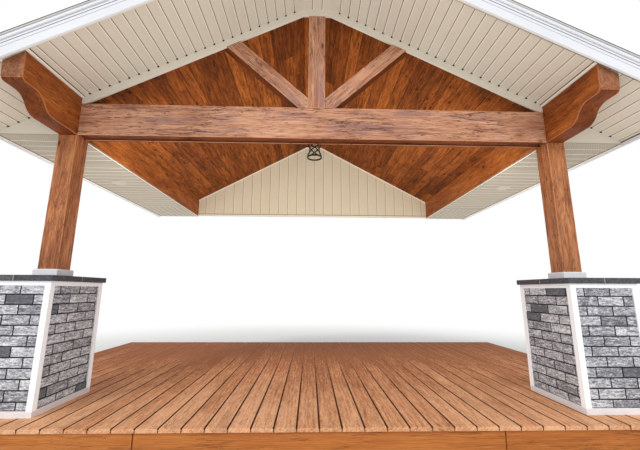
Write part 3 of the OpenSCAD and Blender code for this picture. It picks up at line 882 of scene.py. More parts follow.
def carved(
    node: str, finish: Finish, grain: Grain, slot: str, arris: float, slices: float = 0.0,
    wander: float = 0.0, segments: int = 1, swell: float = 0.0,
) -> bpy.types.Object:
    """Make a piece with eased edges from a CAD node's shape.

    Args:
        node: The node that gives the shape and is replaced.
        finish: The piece's finish.
        grain: Way that its grain runs.
        slot: The record's material slot; not used.
        arris: Width of the eased edge.
        slices: Distance between the rings at which the edges may wander, or 0 for none.
        wander: How far they do.
        segments: Steps in the eased edge.
        swell: Thickness of the coat that the shape gets.

    Returns:
        The piece.
    """
    body = bmesh.new()
    body.from_mesh(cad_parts[node].data)
    for layer in list(body.loops.layers.uv):
        body.loops.layers.uv.remove(layer)
    tone = body.verts.layers.float.new(TONE)
    for corner in body.verts:
        corner[tone] = PLAIN
    bmesh.ops.remove_doubles(body, verts=body.verts, dist=1e-5)
    bmesh.ops.dissolve_limit(body, angle_limit=math.radians(0.5), verts=body.verts, edges=body.edges)
    if swell:
        body.normal_update()
        for corner in body.verts:
            corner.co += corner.normal * swell
    chamfer(body, arris, segments)
    if slices:
        way = grain.way
        along = [corner.co.dot(way) for corner in body.verts]
        for i in range(1, math.ceil((max(along) - min(along)) / slices)):
            cut = way * (min(along) + i * slices)
            geometry = [*body.verts, *body.edges, *body.faces]
            bmesh.ops.bisect_plane(body, geom=geometry, plane_co=cut, plane_no=way, dist=1e-6)
        for corner in body.verts:
            stray = noise.noise_vector(corner.co * 9.0) + noise.noise_vector(corner.co * 31.0) * 0.5
            corner.co += (stray - way * stray.dot(way)) * wander
    return shown(body, f"{node}_eased", finish, grain, [node])


@dataclass(frozen=True)
class Lines:
    """Main lines of the canopy, read from the frame."""

    in_x: float  # Inner face of the posts
    out_x: float  # Outer face of the posts
    post_y: float  # Front face of the posts
    back_y: float  # Rear face of the posts
    frieze_y: float  # Rear face of the frieze, where the ceiling starts
    wall_y: float  # Face of the wall
    soffit_y: float  # Rear face of the rake fascia
    fascia_x: float  # Inner face of the eave fascia
    beam_z: float  # Top of the tie beam
    peak_x: float  # Half the width of the flat strip at the peak
    peak_z: float  # Underside of the flat ceiling strip
    rake_z: float  # Underside of the flat strip of the rake soffit
    foot_z: float  # Lowest height of the rake soffit's underside
    under_z: float  # Underside of the level soffit
    fall: float  # Rise of the roof for each metre across

    @classmethod
    def read(cls) -> "Lines":
        """Read the lines from the boxes of the CAD nodes.

        Returns:
            The lines.
        """
        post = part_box("post_right")
        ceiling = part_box("ceiling_right")
        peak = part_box("ceiling_peak")
        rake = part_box("rake_soffit_right")
        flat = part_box("rake_soffit_peak")
        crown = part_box("frieze_right")[1].z
        return cls(
            in_x=post[0].x, out_x=post[1].x, post_y=post[0].y, back_y=post[1].y,
            frieze_y=ceiling[0].y, wall_y=ceiling[1].y, soffit_y=rake[0].y, fascia_x=rake[1].x,
            beam_z=ceiling[0].z, peak_x=peak[1].x, peak_z=peak[0].z, rake_z=flat[0].z,
            foot_z=rake[0].z, under_z=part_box("eave_soffit_right")[0].z,
            fall=(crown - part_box("closures")[1].z) / post[1].x,
        )

    @property
    def vault(self) -> float:
        """Rise of the ceiling for each metre across."""
        return (self.peak_z - self.beam_z) / (self.in_x - self.peak_x)

    @property
    def tilt(self) -> float:
        """Angle of the roof in radians."""
        return math.atan(self.fall)

    def ceiling_at(self, x: float) -> float:
        """Height of the ceiling's underside at a distance x from the centre."""
        return self.beam_z + self.vault * (self.in_x - x)

    def soffit_at(self, x: float) -> float:
        """Height of the rake soffit's underside at a distance x from the centre."""
        return self.rake_z + self.fall * (self.peak_x - x)

    @property
    def soffit_foot(self) -> float:
        """Where the sloping soffit comes down to its short level end."""
        return self.peak_x + (self.rake_z - self.foot_z) / self.fall


def notched(start: Point, end: Point, marks: Iterable[float], width: float, depth: float) -> Outline:
    """A straight line with V grooves cut to its left, each with painted shade in its hollow and a painted
    highlight at its far lip.

    Args:
        start: Where the line starts.
        end: Where it ends.
        marks: Distances along it at which the grooves are centred.
        width: Width of a groove.
        depth: Depth of a groove.

    Returns:
        The line's points and their tones, with both its ends.
    """
    first, last = Vector(start), Vector(end)
    way = (last - first).normalized()
    inward = Vector((-way.y, way.x))
    points = [(*first, PLAIN)]
    for mark in marks:
        if width < mark < (last - first).length - 2 * width:
            foot = first + way * mark
            points.append((*(foot - way * width / 2), PLAIN))
            points.append((*(foot + inward * depth), GROOVE))
            points.append((*(foot + way * width / 2), CREST))
            points.append((*(foot + way * width * LIP_REACH), PLAIN))
    points.append((*last, PLAIN))
    return points


def band(line: Sequence[Point], drop: float) -> Outline:
    """The outline between a line and the same line lower by a drop."""
    return [*line, *[(a, b - drop) for a, b in reversed(line)]]


def steps(start: float, end: float, gap: float) -> list[float]:
    """Places from start, a gap apart, that are short of end."""
    return [start + i * gap for i in range(math.ceil((end - start) / gap - 1e-6))]


@dataclass
class Deck:
    """The raised deck: boards from front to back on joists, behind a rim."""

    pitch: float = 0.160  # Distance from board to board
    gap: float = 0.0066  # Gap between boards
    arris: float = 0.004  # Chamfer along a board's top edges
    nose: float = 0.009  # Radius of a board's front arris
    dust_top: float = 0.0048  # How far the dark strips between the boards, painted shade in the gaps, lie below their tops
    gap_shade_foot: float = 0.010  # Height of the strips' foot above the boards' undersides
    screw_r: float = 0.0038  # Radius of a screw's head
    screw_in: float = 0.025  # Distance of a screw from its board's edge
    screw_t: float = 0.004  # Depth of the head in the board
    screw_dome: float = 0.0004  # How far its middle stands proud
    screw_flat: float = 0.6  # Radius of its middle, as a share of the head's
    rim_arris: float = 0.003  # Chamfer of the rim boards
    low: Vector = field(init=False)  # Lowest corner of the field of boards
    high: Vector = field(init=False)  # Highest corner of it
    spans: Spans = field(init=False)  # The two edges of each board

    def __post_init__(self) -> None:
        """Read the deck's place from the frame, and divide it into boards."""
        self.low, self.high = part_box("deck_boards")
        edges = steps(self.low.x, self.high.x, self.pitch)
        self.spans = [(x, min(x + self.pitch - self.gap, self.high.x)) for x in edges]

    def build(self) -> None:
        """Make and dress the deck."""
        self.boards()
        self.dust_and_shade()
        self.screws()
        for node in ("rim_left", "rim_right"):
            carved(node, RIM_WOOD, Grain.DEEP, "rim_wood", self.rim_arris)
        for node in ("rim_front", "deck_ledger"):
            carved(node, RIM_WOOD, Grain.ACROSS, "rim_wood", self.rim_arris)
        paint_node("deck_joists", SAWN_WOOD, Grain.ACROSS)
        paint_node("deck_girders", SAWN_WOOD, Grain.DEEP)
        paint_node("ground_pads", CONCRETE, Grain.ACROSS)

    def boards(self) -> None:
        """Lay the boards."""
        draw = random.Random(11)
        low, high = self.low, self.high
        shape = Shape()
        turns = [math.radians(angle) for angle in (90, 60, 30, 0)]
        for x0, x1 in self.spans:
            rings = []
            for turn in turns:
                y = low.y + self.nose * (1 - math.sin(turn))
                rings.append(self.section(x0, x1, y, low.z, high.z - self.nose * (1 - math.cos(turn))))
            rings.append(self.section(x0, x1, high.y, low.z, high.z))
            shape.loft(rings, draw.random())
        mesh = shape.piece("deck_planks", DECK_WOOD, Grain.DEEP, "deck_wood", ["deck_boards"]).data
        # The boards' sides and chamfers in the gaps take the dark edge finish: painted shade
        for face in mesh.polygons:
            if abs(face.normal.x) > 0.5:
                face.material_index = 1

    def section(self, x0: float, x1: float, y: float, z0: float, z1: float) -> list[Point]:
        """One ring round a board.

        Args:
            x0: The board's left edge.
            x1: Its right edge.
            y: Where the ring is.
            z0: The board's underside.
            z1: Its top.

        Returns:
            The ring's points.
        """
        a = self.arris
        outline = [(x0, z0), (x1, z0), (x1, z1 - a), (x1 - a, z1), (x0 + a, z1), (x0, z1 - a)]
        return [(x, y, z) for x, z in outline]

    def dust_and_shade(self) -> None:
        """Fill the gaps between the boards with dark brown strips, painted shade."""
        y0, y1 = self.low.y + self.arris, self.high.y - 2 * LAP
        z0, z1 = self.low.z + self.gap_shade_foot, self.high.z - self.dust_top
        shape = Shape()
        for (_, x0), (x1, _) in zip(self.spans, self.spans[1:]):
            shape.block((x0 - LAP / 2, y0, z0), (x1 + LAP / 2, y1, z1))
        shape.piece("deck_gap_shade", GAP_SHADE_BROWN, Grain.DEEP, "deck_wood")

    def screws(self) -> None:
        """Set two screws in each board at each joist."""
        top = self.high.z
        joists = sorted({round(corner.co.y, 4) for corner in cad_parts["deck_joists"].data.vertices})
        middles = [(a + b) / 2 for a, b in zip(joists[::2], joists[1::2], strict=True)]
        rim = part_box("rim_front")
        turns = [math.radians(45 * i) for i in range(8)]
        foot, brim = (self.screw_r, top - self.screw_t), (self.screw_r, top)
        middle = (self.screw_r * self.screw_flat, top + self.screw_dome)
        shape = Shape()
        for y in [(rim[0].y + rim[1].y) / 2, *middles]:
            for x0, x1 in self.spans:
                for x in (x0 + self.screw_in, x1 - self.screw_in):
                    shape.loft([
                        [(x + r * math.cos(a), y + r * math.sin(a), z) for a in turns]
                        for r, z in (foot, brim, middle)
                    ])
        shape.piece("deck_screws", SCREW_DARK, Grain.ACROSS, "deck_wood")


@dataclass
class Pedestal:
    """A pedestal clad in split stone between white boards, with a cap and a collar."""

    side: Side  # Which pedestal it is
    course: float = 0.0797  # Height of a course of stone
    joint: float = 0.0095  # Width of the joints
    front_block: float = 0.218  # Length of a block on the front and rear faces
    side_block: float = 0.242  # Length of a block on the side faces
    # Shift of the first course, and the further shift of every other one, in blocks
    bond: Pair = (0.35, 0.5)
    stray: float = 0.006  # How far a course strays from that
    first_top: float = 0.068  # Height of the uppermost course, which the top rail cuts short
    least_course: float = 0.02  # Least height of the lowest course
    least_block: float = 0.012  # Least length of a block beside a corner board
    stone_set: float = 0.006  # Depth of the stone behind the face of the boards
    bed: float = 0.010  # Depth of the mortar behind the stone
    tail: float = 0.004  # How far a block is set in the mortar
    relief: float = 0.0022  # Height of the split face
    rim_relief: float = 0.35  # Share of that height at a block's edges
    ease: float = 0.0035  # How far a block's edges lie behind its face
    facet: float = 0.018  # Length of the facets of a split face
    rows: int = 5  # Number of facets in a block's height
    trim_t: float = 0.019  # Thickness of the boards
    corner_w: float = 0.048  # Width of the corner boards
    top_rail: float = 0.037  # Height of the top rails
    bottom_rail: float = 0.047  # Height of the bottom rails
    trim_arris: float = 0.0012  # Chamfer of the boards
    collar_arris: float = 0.0015  # Chamfer of the post's collar
    mortar_arris: float = 0.002  # Chamfer of the mortar
    cap_gap: float = 0.004  # Width of the joints between the cap's slabs
    cap_low: float = 0.0015  # How far the pointing in those joints lies below the slabs' tops
    cap_arris: float = 0.004  # Chamfer of the slabs
    cap_tones: Pair = (0.3, 0.9)  # Least and greatest tone of a slab
    half: Vector = field(init=False)  # Half the size of the boards' box
    axis: Vector = field(init=False)  # The pedestal's middle, at height 0
    foot_z: float = field(init=False)  # Height of the boards' foot
    top_z: float = field(init=False)  # Height of their top

    def __post_init__(self) -> None:
        """Read the place of the pedestal from the box of its boards."""
        low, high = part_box(f"pedestal_trim_{self.side.word}")
        middle = (high + low) / 2
        self.half = (high - low) / 2
        self.axis = Vector((middle.x, middle.y, 0))
        self.foot_z, self.top_z = low.z, high.z

    def build(self) -> None:
        """Make and dress the pedestal."""
        self.stones()
        self.mortar()
        self.boards()
        self.cap()
        carved(f"post_skirt_{self.side.word}", TRIM_WHITE, Grain.ACROSS, "white_trim", self.collar_arris)

    def faces(self) -> list[tuple[Vector, float, float, float]]:
        """List the four faces.

        Returns:
            The way each looks, its half width, its distance from the axis and its block length.
        """
        x, y = self.half.x, self.half.y
        return [
            (Vector((0, -1, 0)), x, y, self.front_block), (Vector((0, 1, 0)), x, y, self.front_block),
            (Vector((-1, 0, 0)), y, x, self.side_block), (Vector((1, 0, 0)), y, x, self.side_block),
        ]

    def stones(self) -> None:
        """Lay the courses of stone, with the dark mortar finish on the sides of the blocks as painted shade
        in the joints.
        """
        draw = random.Random(5 if self.side is Side.LEFT else 8)
        foot = self.foot_z + self.bottom_rail
        head = self.top_z - self.top_rail
        count = math.ceil((head - foot) / self.course)
        beds = [head - self.first_top - i * self.course for i in range(count)]
        beds = [head, *[z for z in beds if z > foot + self.least_course], foot]
        gap = self.joint / 2
        shape = Shape()
        for look, half_w, reach, length in self.faces():
            run = half_w - self.corner_w
            for row, (top, bottom) in enumerate(zip(beds, beds[1:])):
                shift = (self.bond[0] + self.bond[1] * (row % 2)) * length
                shift += draw.uniform(-self.stray, self.stray)
                joints = steps(shift - run - length, run, length)
                cuts = [-run, *[u for u in joints if abs(u) < run - self.least_block], run]
                for u0, u1 in zip(cuts, cuts[1:]):
                    sides = (u0 + gap * (u0 > -run), u1 - gap * (u1 < run))
                    box = (*sides, bottom + gap, top - gap * (top < head))
                    self.stone(shape, look, reach - self.stone_set, box, draw.random())
        word = self.side.word
        node = [f"pedestal_{word}"]
        stones = shape.piece(f"stones_{word}", LEDGE_STONE, Grain.ACROSS, "stone_cladding", node)
        # The blocks' sides take the dark mortar finish: painted shade in the joints
        stones.data.materials[1] = finished(MORTAR, Grain.ACROSS)
        for face in stones.data.polygons:
            ahead = abs(face.center.y - self.axis.y) > self.half.y - self.corner_w / 2
            if abs(face.normal.y if ahead else face.normal.x) < 0.5:
                face.material_index = 1

    def stone(self, shape: Shape, look: Vector, reach: float, box: tuple[float, ...], tone: float) -> None:
        """Add one split block.

        Args:
            shape: The stones so far.
            look: Way that the face looks.
            reach: Distance of the stone's face from the pedestal's axis.
            box: The block's left, right, lower and upper edges on the face.
            tone: Its tone.
        """
        u0, u1, v0, v1 = box
        rows, columns = self.rows, max(2, round((u1 - u0) / self.facet))
        places = [
            (u0 + (u1 - u0) * i / columns, v0 + (v1 - v0) * j / rows)
            for j in range(rows + 1) for i in range(columns + 1)
        ]
        line = columns + 1
        last = rows * line
        border = [*range(columns), *range(columns, last + columns, line)]
        border += [*range(last + columns, last, -1), *range(last, 0, -line)]
        points = []
        for k, (u, v) in enumerate(places):
            rim = k in border
            spot = Vector((u * 26, v * 60, tone * 90))
            rough = noise.noise(spot) + 0.5 * noise.noise(spot * 2.3)
            out = reach - self.ease * rim + rough * self.relief * (self.rim_relief if rim else 1.0)
            points.append(self.spot(look, u, v, out))
        points += [self.spot(look, *places[k], reach - self.bed - self.tail) for k in border]
        low = [j * line + i for j in range(rows) for i in range(columns)]
        faces = [(k, k + 1, k + line + 1, k + line) for k in low]
        n, m = len(places), len(border)
        faces += [(border[k], border[(k + 1) % m], n + (k + 1) % m, n + k) for k in range(m)]
        faces.append(tuple(n + k for k in range(m)))
        shape.add(points, faces, tone)

    def spot(self, look: Vector, u: float, v: float, out: float) -> Vector:
        """The point on a face at u across, v up and out from the axis of the pedestal."""
        return self.axis + Vector((-look.y, look.x, 0)) * u + look * out + Vector((0, 0, v))

    def mortar(self) -> None:
        """Make the mortar behind the stones."""
        word = self.side.word
        inner = Vector([half - self.stone_set - self.bed for half in self.half.xy] + [0])
        low, high = self.axis - inner, self.axis + inner
        shape = Shape()
        shape.block((low.x, low.y, self.foot_z), (high.x, high.y, self.top_z))
        node = [f"pedestal_{word}"]
        shape.piece(f"mortar_{word}", MORTAR, Grain.ACROSS, "stone_cladding", node, self.mortar_arris)

    def boards(self) -> None:
        """Fix the corner boards and the rails."""
        shape = Shape()
        x, y, t, w = self.half.x, self.half.y, self.trim_t, self.corner_w
        foot, top = self.foot_z, self.top_z
        for sx in (-1, 1):
            for sy in (-1, 1):
                self.board(shape, (sx * (x - w), sy * (y - t), foot), (sx * x, sy * y, top))
                self.board(shape, (sx * (x - t), sy * (y - w), foot), (sx * x, sy * (y - t), top))
        for z0, z1 in ((foot, foot + self.bottom_rail), (top - self.top_rail, top)):
            for s in (-1, 1):
                self.board(shape, (-(x - w), s * (y - t), z0), (x - w, s * y, z1))
                self.board(shape, (s * (x - t), -(y - w), z0), (s * x, y - w, z1))
        name, node = f"pedestal_boards_{self.side.word}", [f"pedestal_trim_{self.side.word}"]
        shape.piece(name, TRIM_WHITE, Grain.UPRIGHT, "white_trim", node, self.trim_arris)

    def board(self, shape: Shape, first: Point, last: Point) -> None:
        """Add a board.

        Args:
            shape: The boards so far.
            first: One of its corners, from the pedestal's axis.
            last: The opposite corner.
        """
        low = [min(a, b) for a, b in zip(first, last, strict=True)]
        high = [max(a, b) for a, b in zip(first, last, strict=True)]
        shape.block(Vector(low) + self.axis, Vector(high) + self.axis)

    def cap(self) -> None:
        """Lay the cap's four slabs, with pale pointing between them."""
        word = self.side.word
        low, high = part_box(f"pedestal_cap_{word}")
        gap = self.cap_gap / 2
        left, right = self.axis.x - gap, self.axis.x + gap
        near, far = self.axis.y - gap, self.axis.y + gap
        draw = random.Random(3 + self.side.value)
        slabs = Shape()
        for x0, x1 in ((low.x, left), (right, high.x)):
            for y0, y1 in ((low.y, near), (far, high.y)):
                slabs.block((x0, y0, low.z), (x1, y1, high.z), draw.uniform(*self.cap_tones))
        node = [f"pedestal_cap_{word}"]
        slabs.piece(f"cap_slabs_{word}", CAP_STONE, Grain.ACROSS, "cap_stone", node, self.cap_arris)
        foot, top = low.z + 2 * LAP, high.z - self.cap_low
        joints = Shape()
        joints.block((left, low.y + 2 * LAP, foot), (right, high.y - 2 * LAP, top))
        for x0, x1 in ((low.x + 2 * LAP, left), (right, high.x - 2 * LAP)):
            joints.block((x0, near, foot), (x1, far, top))
        joints.piece(f"cap_joints_{word}", POINTING, Grain.ACROSS, "cap_stone")


@dataclass
class TimberFrame:
    """Posts, side beams with shaped tails, and the front truss."""

    arris: float = 0.007  # Width of the eased edges
    segments: int = 2  # Steps in them
    slices: float = 0.045  # Distance between the places at which an edge may wander
    wander: float = 0.0011  # How far an edge wanders
    front: float = 0.9  # How squarely a face has to look forwards to keep the front's lighter finish, partly faded by weather and partly painted light
    under: float = 0.25  # How far a sheltered face has to look down to get the undersides' darker finish, painted shade
    lip_w: float = 0.034  # Width of the tie beam's rear board, seen from below
    line_w: float = 0.012  # Width of the shadow line beside it

    def build(self) -> None:
        """Make and dress the timbers."""
        for side in Side:
            self.worn(f"post_{side.word}", POST_WOOD, Grain.UPRIGHT)
            self.timber(f"side_beam_{side.word}", TAIL_WOOD, Grain.DEEP)
            self.timber(f"brace_{side.word}", TRUSS_WOOD, Grain[f"BRACE_{side.name}"])
            paint_node(f"top_chord_{side.word}", POST_WOOD, Grain[f"SLOPE_{side.name}"])
        self.timber("tie_beam", TRUSS_WOOD, Grain.ACROSS)
        self.timber("king_post", TRUSS_WOOD, Grain.UPRIGHT)
        self.recess()

    def worn(self, node: str, finish: Finish, grain: Grain) -> bpy.types.Mesh:
        """Make one timber from a CAD node, with wandering eased edges whose lighter colour is a painted
        highlight, and give its mesh.
        """
        sizes = (self.arris, self.slices, self.wander, self.segments)
        return carved(node, finish, grain, "timber", *sizes).data

    def timber(self, node: str, finish: Finish, grain: Grain) -> None:
        """Make one timber that is lighter on its front, partly faded and partly painted light, and darker
        on its sheltered faces and darkest underneath, as painted shade.

        Args:
            node: The CAD node that gives its shape.
            finish: The finish of its front.
            grain: Way that its grain runs.
        """
        mesh = self.worn(node, finish, grain)
        mesh.materials.append(finished(SHELTERED_SHADE_WOOD, grain))
        mesh.materials.append(finished(UNDER_SHADE_WOOD, grain))
        for face in mesh.polygons:
            if face.material_index == 0 and face.normal.y > -self.front:
                face.material_index = 3 if face.normal.z < -self.under else 2

    def recess(self) -> None:
        """Mark the shadow line under the tie beam, where its lower board meets the rear one."""
        low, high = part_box("tie_beam")
        y = high.y - self.lip_w
        foot, top = low.z - LAP, low.z + LAP
        outline = [(low.x, foot), (high.x, foot), (high.x - 2 * LAP, top), (low.x + 2 * LAP, top)]
        shape = Shape()
        shape.prism(outline, deep(), y - self.line_w, y)
        shape.piece("beam_recess", RECESS_BROWN, Grain.ACROSS, "timber")


@dataclass
class Ceiling:
    """The boarded vault."""

    lines: Lines
    boards: int = 18  # Boards on each slope
    thick: float = 0.015  # Thickness of the boards
    gap: float = 0.0006  # Width of the joints
    arris: float = 0.0022  # Chamfer along a board's edges
    first: Pair = (0.3, 3.2)  # Least and greatest length of the first board of a line
    length: Pair = (1.2, 3.2)  # Least and greatest length of the boards after it
    last: float = 0.25  # Least length of the last one

    def build(self) -> None:
        """Make and dress the ceiling."""
        for side in Side:
            self.slope(side)
        peak = self.lines.peak_x
        self.lay("peak", [-peak, 0.0, peak], Matrix.Translation((0, 0, self.lines.peak_z)), 29)
        paint_node("ridge_board", SAWN_WOOD, Grain.DEEP)
        paint_node("rafters", SAWN_WOOD, Grain.ACROSS)

    def slope(self, side: Side) -> None:
        """Board one slope.

        Args:
            side: Which slope.
        """
        lines = self.lines
        lean = math.atan(lines.vault)
        width = (lines.in_x - lines.peak_x) / math.cos(lean) / self.boards
        place = Matrix.Translation((side.value * lines.in_x, 0, lines.beam_z))
        place = place @ Matrix.Scale(side.value, 4, (1, 0, 0)) @ Matrix.Rotation(lean, 4, "Y")
        place = place @ Matrix.Scale(-1, 4, (1, 0, 0))
        self.lay(side.word, [i * width for i in range(self.boards + 1)], place, 21 + side.value)

    def lay(self, word: str, edges: Sequence[float], place: Matrix, seed: int) -> None:
        """Lay the boards of one surface.

        Args:
            word: Which surface it is, as node names have it.
            edges: The joints between the boards, from one side of the surface to the other.
            place: Where the surface's own frame lies.
            seed: Number that fixes the random lengths and tones.
        """
        draw = random.Random(seed)
        shape = Shape()
        for x0, x1 in zip(edges, edges[1:]):
            for y0, y1 in self.lengths(draw):
                low = (x0 + self.gap / 2, y0, 0.0)
                shape.block(low, (x1 - self.gap / 2, y1, self.thick), draw.random(), place)
        node = [f"ceiling_{word}"]
        shape.piece(f"ceiling_boards_{word}", CEILING_WOOD, Grain.DEEP, "ceiling_wood", node, self.arris)

    def lengths(self, draw: random.Random) -> Spans:
        """Cut one line of boards, from the truss to the wall, at random joints.

        Args:
            draw: Source of the random lengths.

        Returns:
            Where each length starts and ends.
        """
        cuts = [self.lines.frieze_y]
        place = self.lines.frieze_y + draw.uniform(*self.first)
        while place < self.lines.wall_y - self.last:
            cuts.append(place)
            place += draw.uniform(*self.length)
        cuts.append(self.lines.wall_y)
        return [(a + self.gap / 2, b - self.gap / 2) for a, b in zip(cuts, cuts[1:])]


@dataclass
class Soffits:
    """Ribbed soffit panels, the frieze, the closures and their edge strips."""

    lines: Lines
    rake_pitch: float = 0.100  # Distance between the grooves of the rake soffit, along the slope
    eave_pitch: float = 0.1245  # Distance between the grooves of the eave soffit
    rear_pitch: float = 0.100  # Distance between the grooves of its rear panel
    rear_panel: float = 0.82  # Depth of that panel at the wall
    vent_panel: float = 0.747  # Depth of the panels with vent holes, from the posts' front
    groove_w: float = 0.013  # Width of a groove
    groove_d: float = 0.007  # Depth of a groove
    thick: float = 0.012  # Thickness of the panels
    mouth: float = 0.017  # Width and depth of the dark mouth, painted shade, where a groove ends at the frieze
    mouth_low: float = 0.0015  # How far a mouth reaches below the panel's face
    mouth_high: float = 0.004  # How far it reaches above it
    post_gap: float = 0.02  # Distance from a post within which there are no mouths
    strip_w: float = 0.026  # Width of the edge strips
    strip_t: float = 0.004  # Thickness of the edge strips
    beam_share: float = 0.7  # Share of a strip's width that shows beside the side beams
    shadow: Pair = (0.005, 0.008)  # Where a strip's painted shadow line ends and its face, in painted highlight, starts
    shadow_tones: Pair = (0.1, 0.95)  # The tones at those two places
    arris: float = 0.0015  # Chamfer of the frieze and the closures

    def build(self) -> None:
        """Make and dress the soffits."""
        for side in Side:
            self.rake(side)
            self.mouths(side)
            self.eave(side)
            self.strips(side)
            grain = Grain[f"SLOPE_{side.name}"]
            carved(f"frieze_{side.word}", FRIEZE_CREAM, grain, "frieze_panel", self.arris)
        carved("closures", FRIEZE_CREAM, Grain.ACROSS, "frieze_panel", self.arris)
        self.peak()

    @property
    def run(self) -> float:
        """Length of one slope of the rake soffit."""
        return (self.lines.soffit_foot - self.lines.peak_x) / math.cos(self.lines.tilt)

    def panel(self, start: Point, end: Point, marks: Iterable[float]) -> Outline:
        """Draw a level panel's outline, with grooves in its underside centred at the marks."""
        line = notched(start, end, marks, self.groove_w, self.groove_d)
        return [*line, (end[0], end[1] + self.thick), (start[0], start[1] + self.thick)]

    def rake(self, side: Side) -> None:
        """Make one slope of the rake soffit, with its level end.

        Args:
            side: Which slope.
        """
        lines = self.lines
        top = (lines.peak_x, lines.rake_z)
        foot = (lines.soffit_foot, lines.foot_z)
        end = (lines.fascia_x, lines.foot_z)
        marks = steps(self.rake_pitch, self.run, self.rake_pitch)
        outline = [*notched(top, foot, marks, self.groove_w, self.groove_d), end]
        outline += [(x, z + self.thick) for x, z in (end, foot, top)]
        shape = Shape()
        shape.prism(outline, deep(side), lines.soffit_y, lines.post_y)
        node = [f"rake_soffit_{side.word}"]
        shape.piece(f"rake_panels_{side.word}", SOFFIT_TAN, Grain.DEEP, "soffit_panel", node)

    def mouths(self, side: Side) -> None:
        """Mark the dark mouths of the grooves on one slope, where the frieze ends them: dark strips that
        paint the shade in the openings.

        Args:
            side: Which slope.
        """
        lines = self.lines
        half = self.mouth / 2
        rise = lines.fall * half
        shape = Shape()
        for mark in steps(self.rake_pitch, self.run - self.rake_pitch / 2, self.rake_pitch):
            x = lines.peak_x + mark * math.cos(lines.tilt)
            if lines.in_x - self.post_gap < x < lines.out_x + self.post_gap:
                continue
            z = lines.soffit_at(x)
            ends = [(x - half, z + rise), (x + half, z - rise)]
            outline = [(a, b - self.mouth_low) for a, b in ends]
            outline += [(a, b + self.mouth_high) for a, b in reversed(ends)]
            shape.prism(outline, deep(side), lines.post_y - self.mouth, lines.post_y + LAP)
        shape.piece(f"groove_mouths_{side.word}", POCKET_SHADE, Grain.ACROSS, "soffit_panel")

    def peak(self) -> None:
        """Make the flat strip of the rake soffit at the peak."""
        x, z = self.lines.peak_x, self.lines.rake_z
        marks = [x - self.rake_pitch / 2, x + self.rake_pitch / 2]
        shape = Shape()
        shape.prism(self.panel((-x, z), (x, z), marks), deep(), self.lines.soffit_y, self.lines.post_y)
        shape.piece("rake_panel_peak", SOFFIT_TAN, Grain.DEEP, "soffit_panel", ["rake_soffit_peak"])

    def eave(self, side: Side) -> None:
        """Make the level soffit on one side.

        Args:
            side: Which side.
        """
        lines = self.lines
        z = lines.under_z
        rear = lines.wall_y - self.rear_panel
        vent_y = lines.post_y + self.vent_panel
        plain = Shape()
        vented = Shape()
        parts = (
            (vented, lines.out_x, lines.post_y, lines.back_y),
            (vented, lines.in_x, lines.back_y, vent_y), (plain, lines.in_x, vent_y, rear),
        )
        for shape, x0, y0, y1 in parts:
            first = self.eave_pitch - (y0 - lines.post_y) % self.eave_pitch
            marks = steps(first, y1 - y0, self.eave_pitch)
            shape.prism(self.panel((y0, z), (y1, z), marks), wide(side), x0, lines.fascia_x)
        marks = steps(self.rear_pitch / 2, lines.fascia_x - lines.in_x, self.rear_pitch)
        outline = self.panel((lines.in_x, z), (lines.fascia_x, z), marks)
        plain.prism(outline, deep(side), rear, lines.wall_y)
        node = [f"eave_soffit_{side.word}"]
        plain.piece(f"eave_panels_{side.word}", EAVE_TAN, Grain.ACROSS, "soffit_panel", node)
        vented.piece(f"vent_panels_{side.word}", VENTED_TAN, Grain.ACROSS, "soffit_panel", node)

    def strips(self, side: Side) -> None:
        """Fix the edge strips of the soffits on one side.

        Args:
            side: Which side.
        """
        lines = self.lines
        w, z = self.strip_w, lines.under_z
        beam = lines.in_x + w * self.beam_share
        eave = lines.fascia_x - w
        rear = lines.wall_y - self.rear_panel
        front = lines.soffit_y + w
        shape = Shape()
        level = self.strip(beam, lines.in_x - 2 * LAP, z, z)
        shape.prism(level, deep(side), lines.back_y, lines.wall_y)
        shape.prism(self.strip(eave, lines.fascia_x, z, z), deep(side), lines.post_y, lines.wall_y)
        shape.prism(self.strip(rear - w / 2, rear + w / 2, z, z), wide(side), beam, eave)
        edge = [(x, lines.foot_z) for x in (lines.soffit_foot, lines.fascia_x)]
        edge = [(lines.peak_x, lines.rake_z), *edge]
        shape.prism(band(edge, self.strip_t), deep(side), lines.soffit_y, front)
        for x, x1 in ((lines.in_x - w, lines.in_x), (lines.out_x + w, lines.out_x)):
            outline = self.strip(x, x1, lines.soffit_at(x), lines.soffit_at(x1))
            shape.prism(outline, deep(side), front, lines.post_y)
        shape.piece(f"soffit_strips_{side.word}", FRIEZE_CREAM, Grain.DEEP, "soffit_panel")

    def strip(self, x: float, x1: float, z: float, z1: float) -> Outline:
        """Draw an edge strip under a panel, with a painted shadow line at its first edge and a painted
        highlight on its face.

        Args:
            x: Its edge against the panel.
            x1: Its other edge.
            z: Height of the panel's face at the first edge.
            z1: Its height at the other edge.

        Returns:
            The outline's corners and tones.
        """
        first, last = Vector((x, z - self.strip_t)), Vector((x1, z1 - self.strip_t))
        way = (last - first).normalized()
        places = zip(self.shadow, self.shadow_tones, strict=True)
        face = [(*(first + way * place), tone) for place, tone in places]
        return [(x, z, GROOVE), (*first, GROOVE), *face, (*last, self.shadow_tones[1]), (x1, z1, PLAIN)]


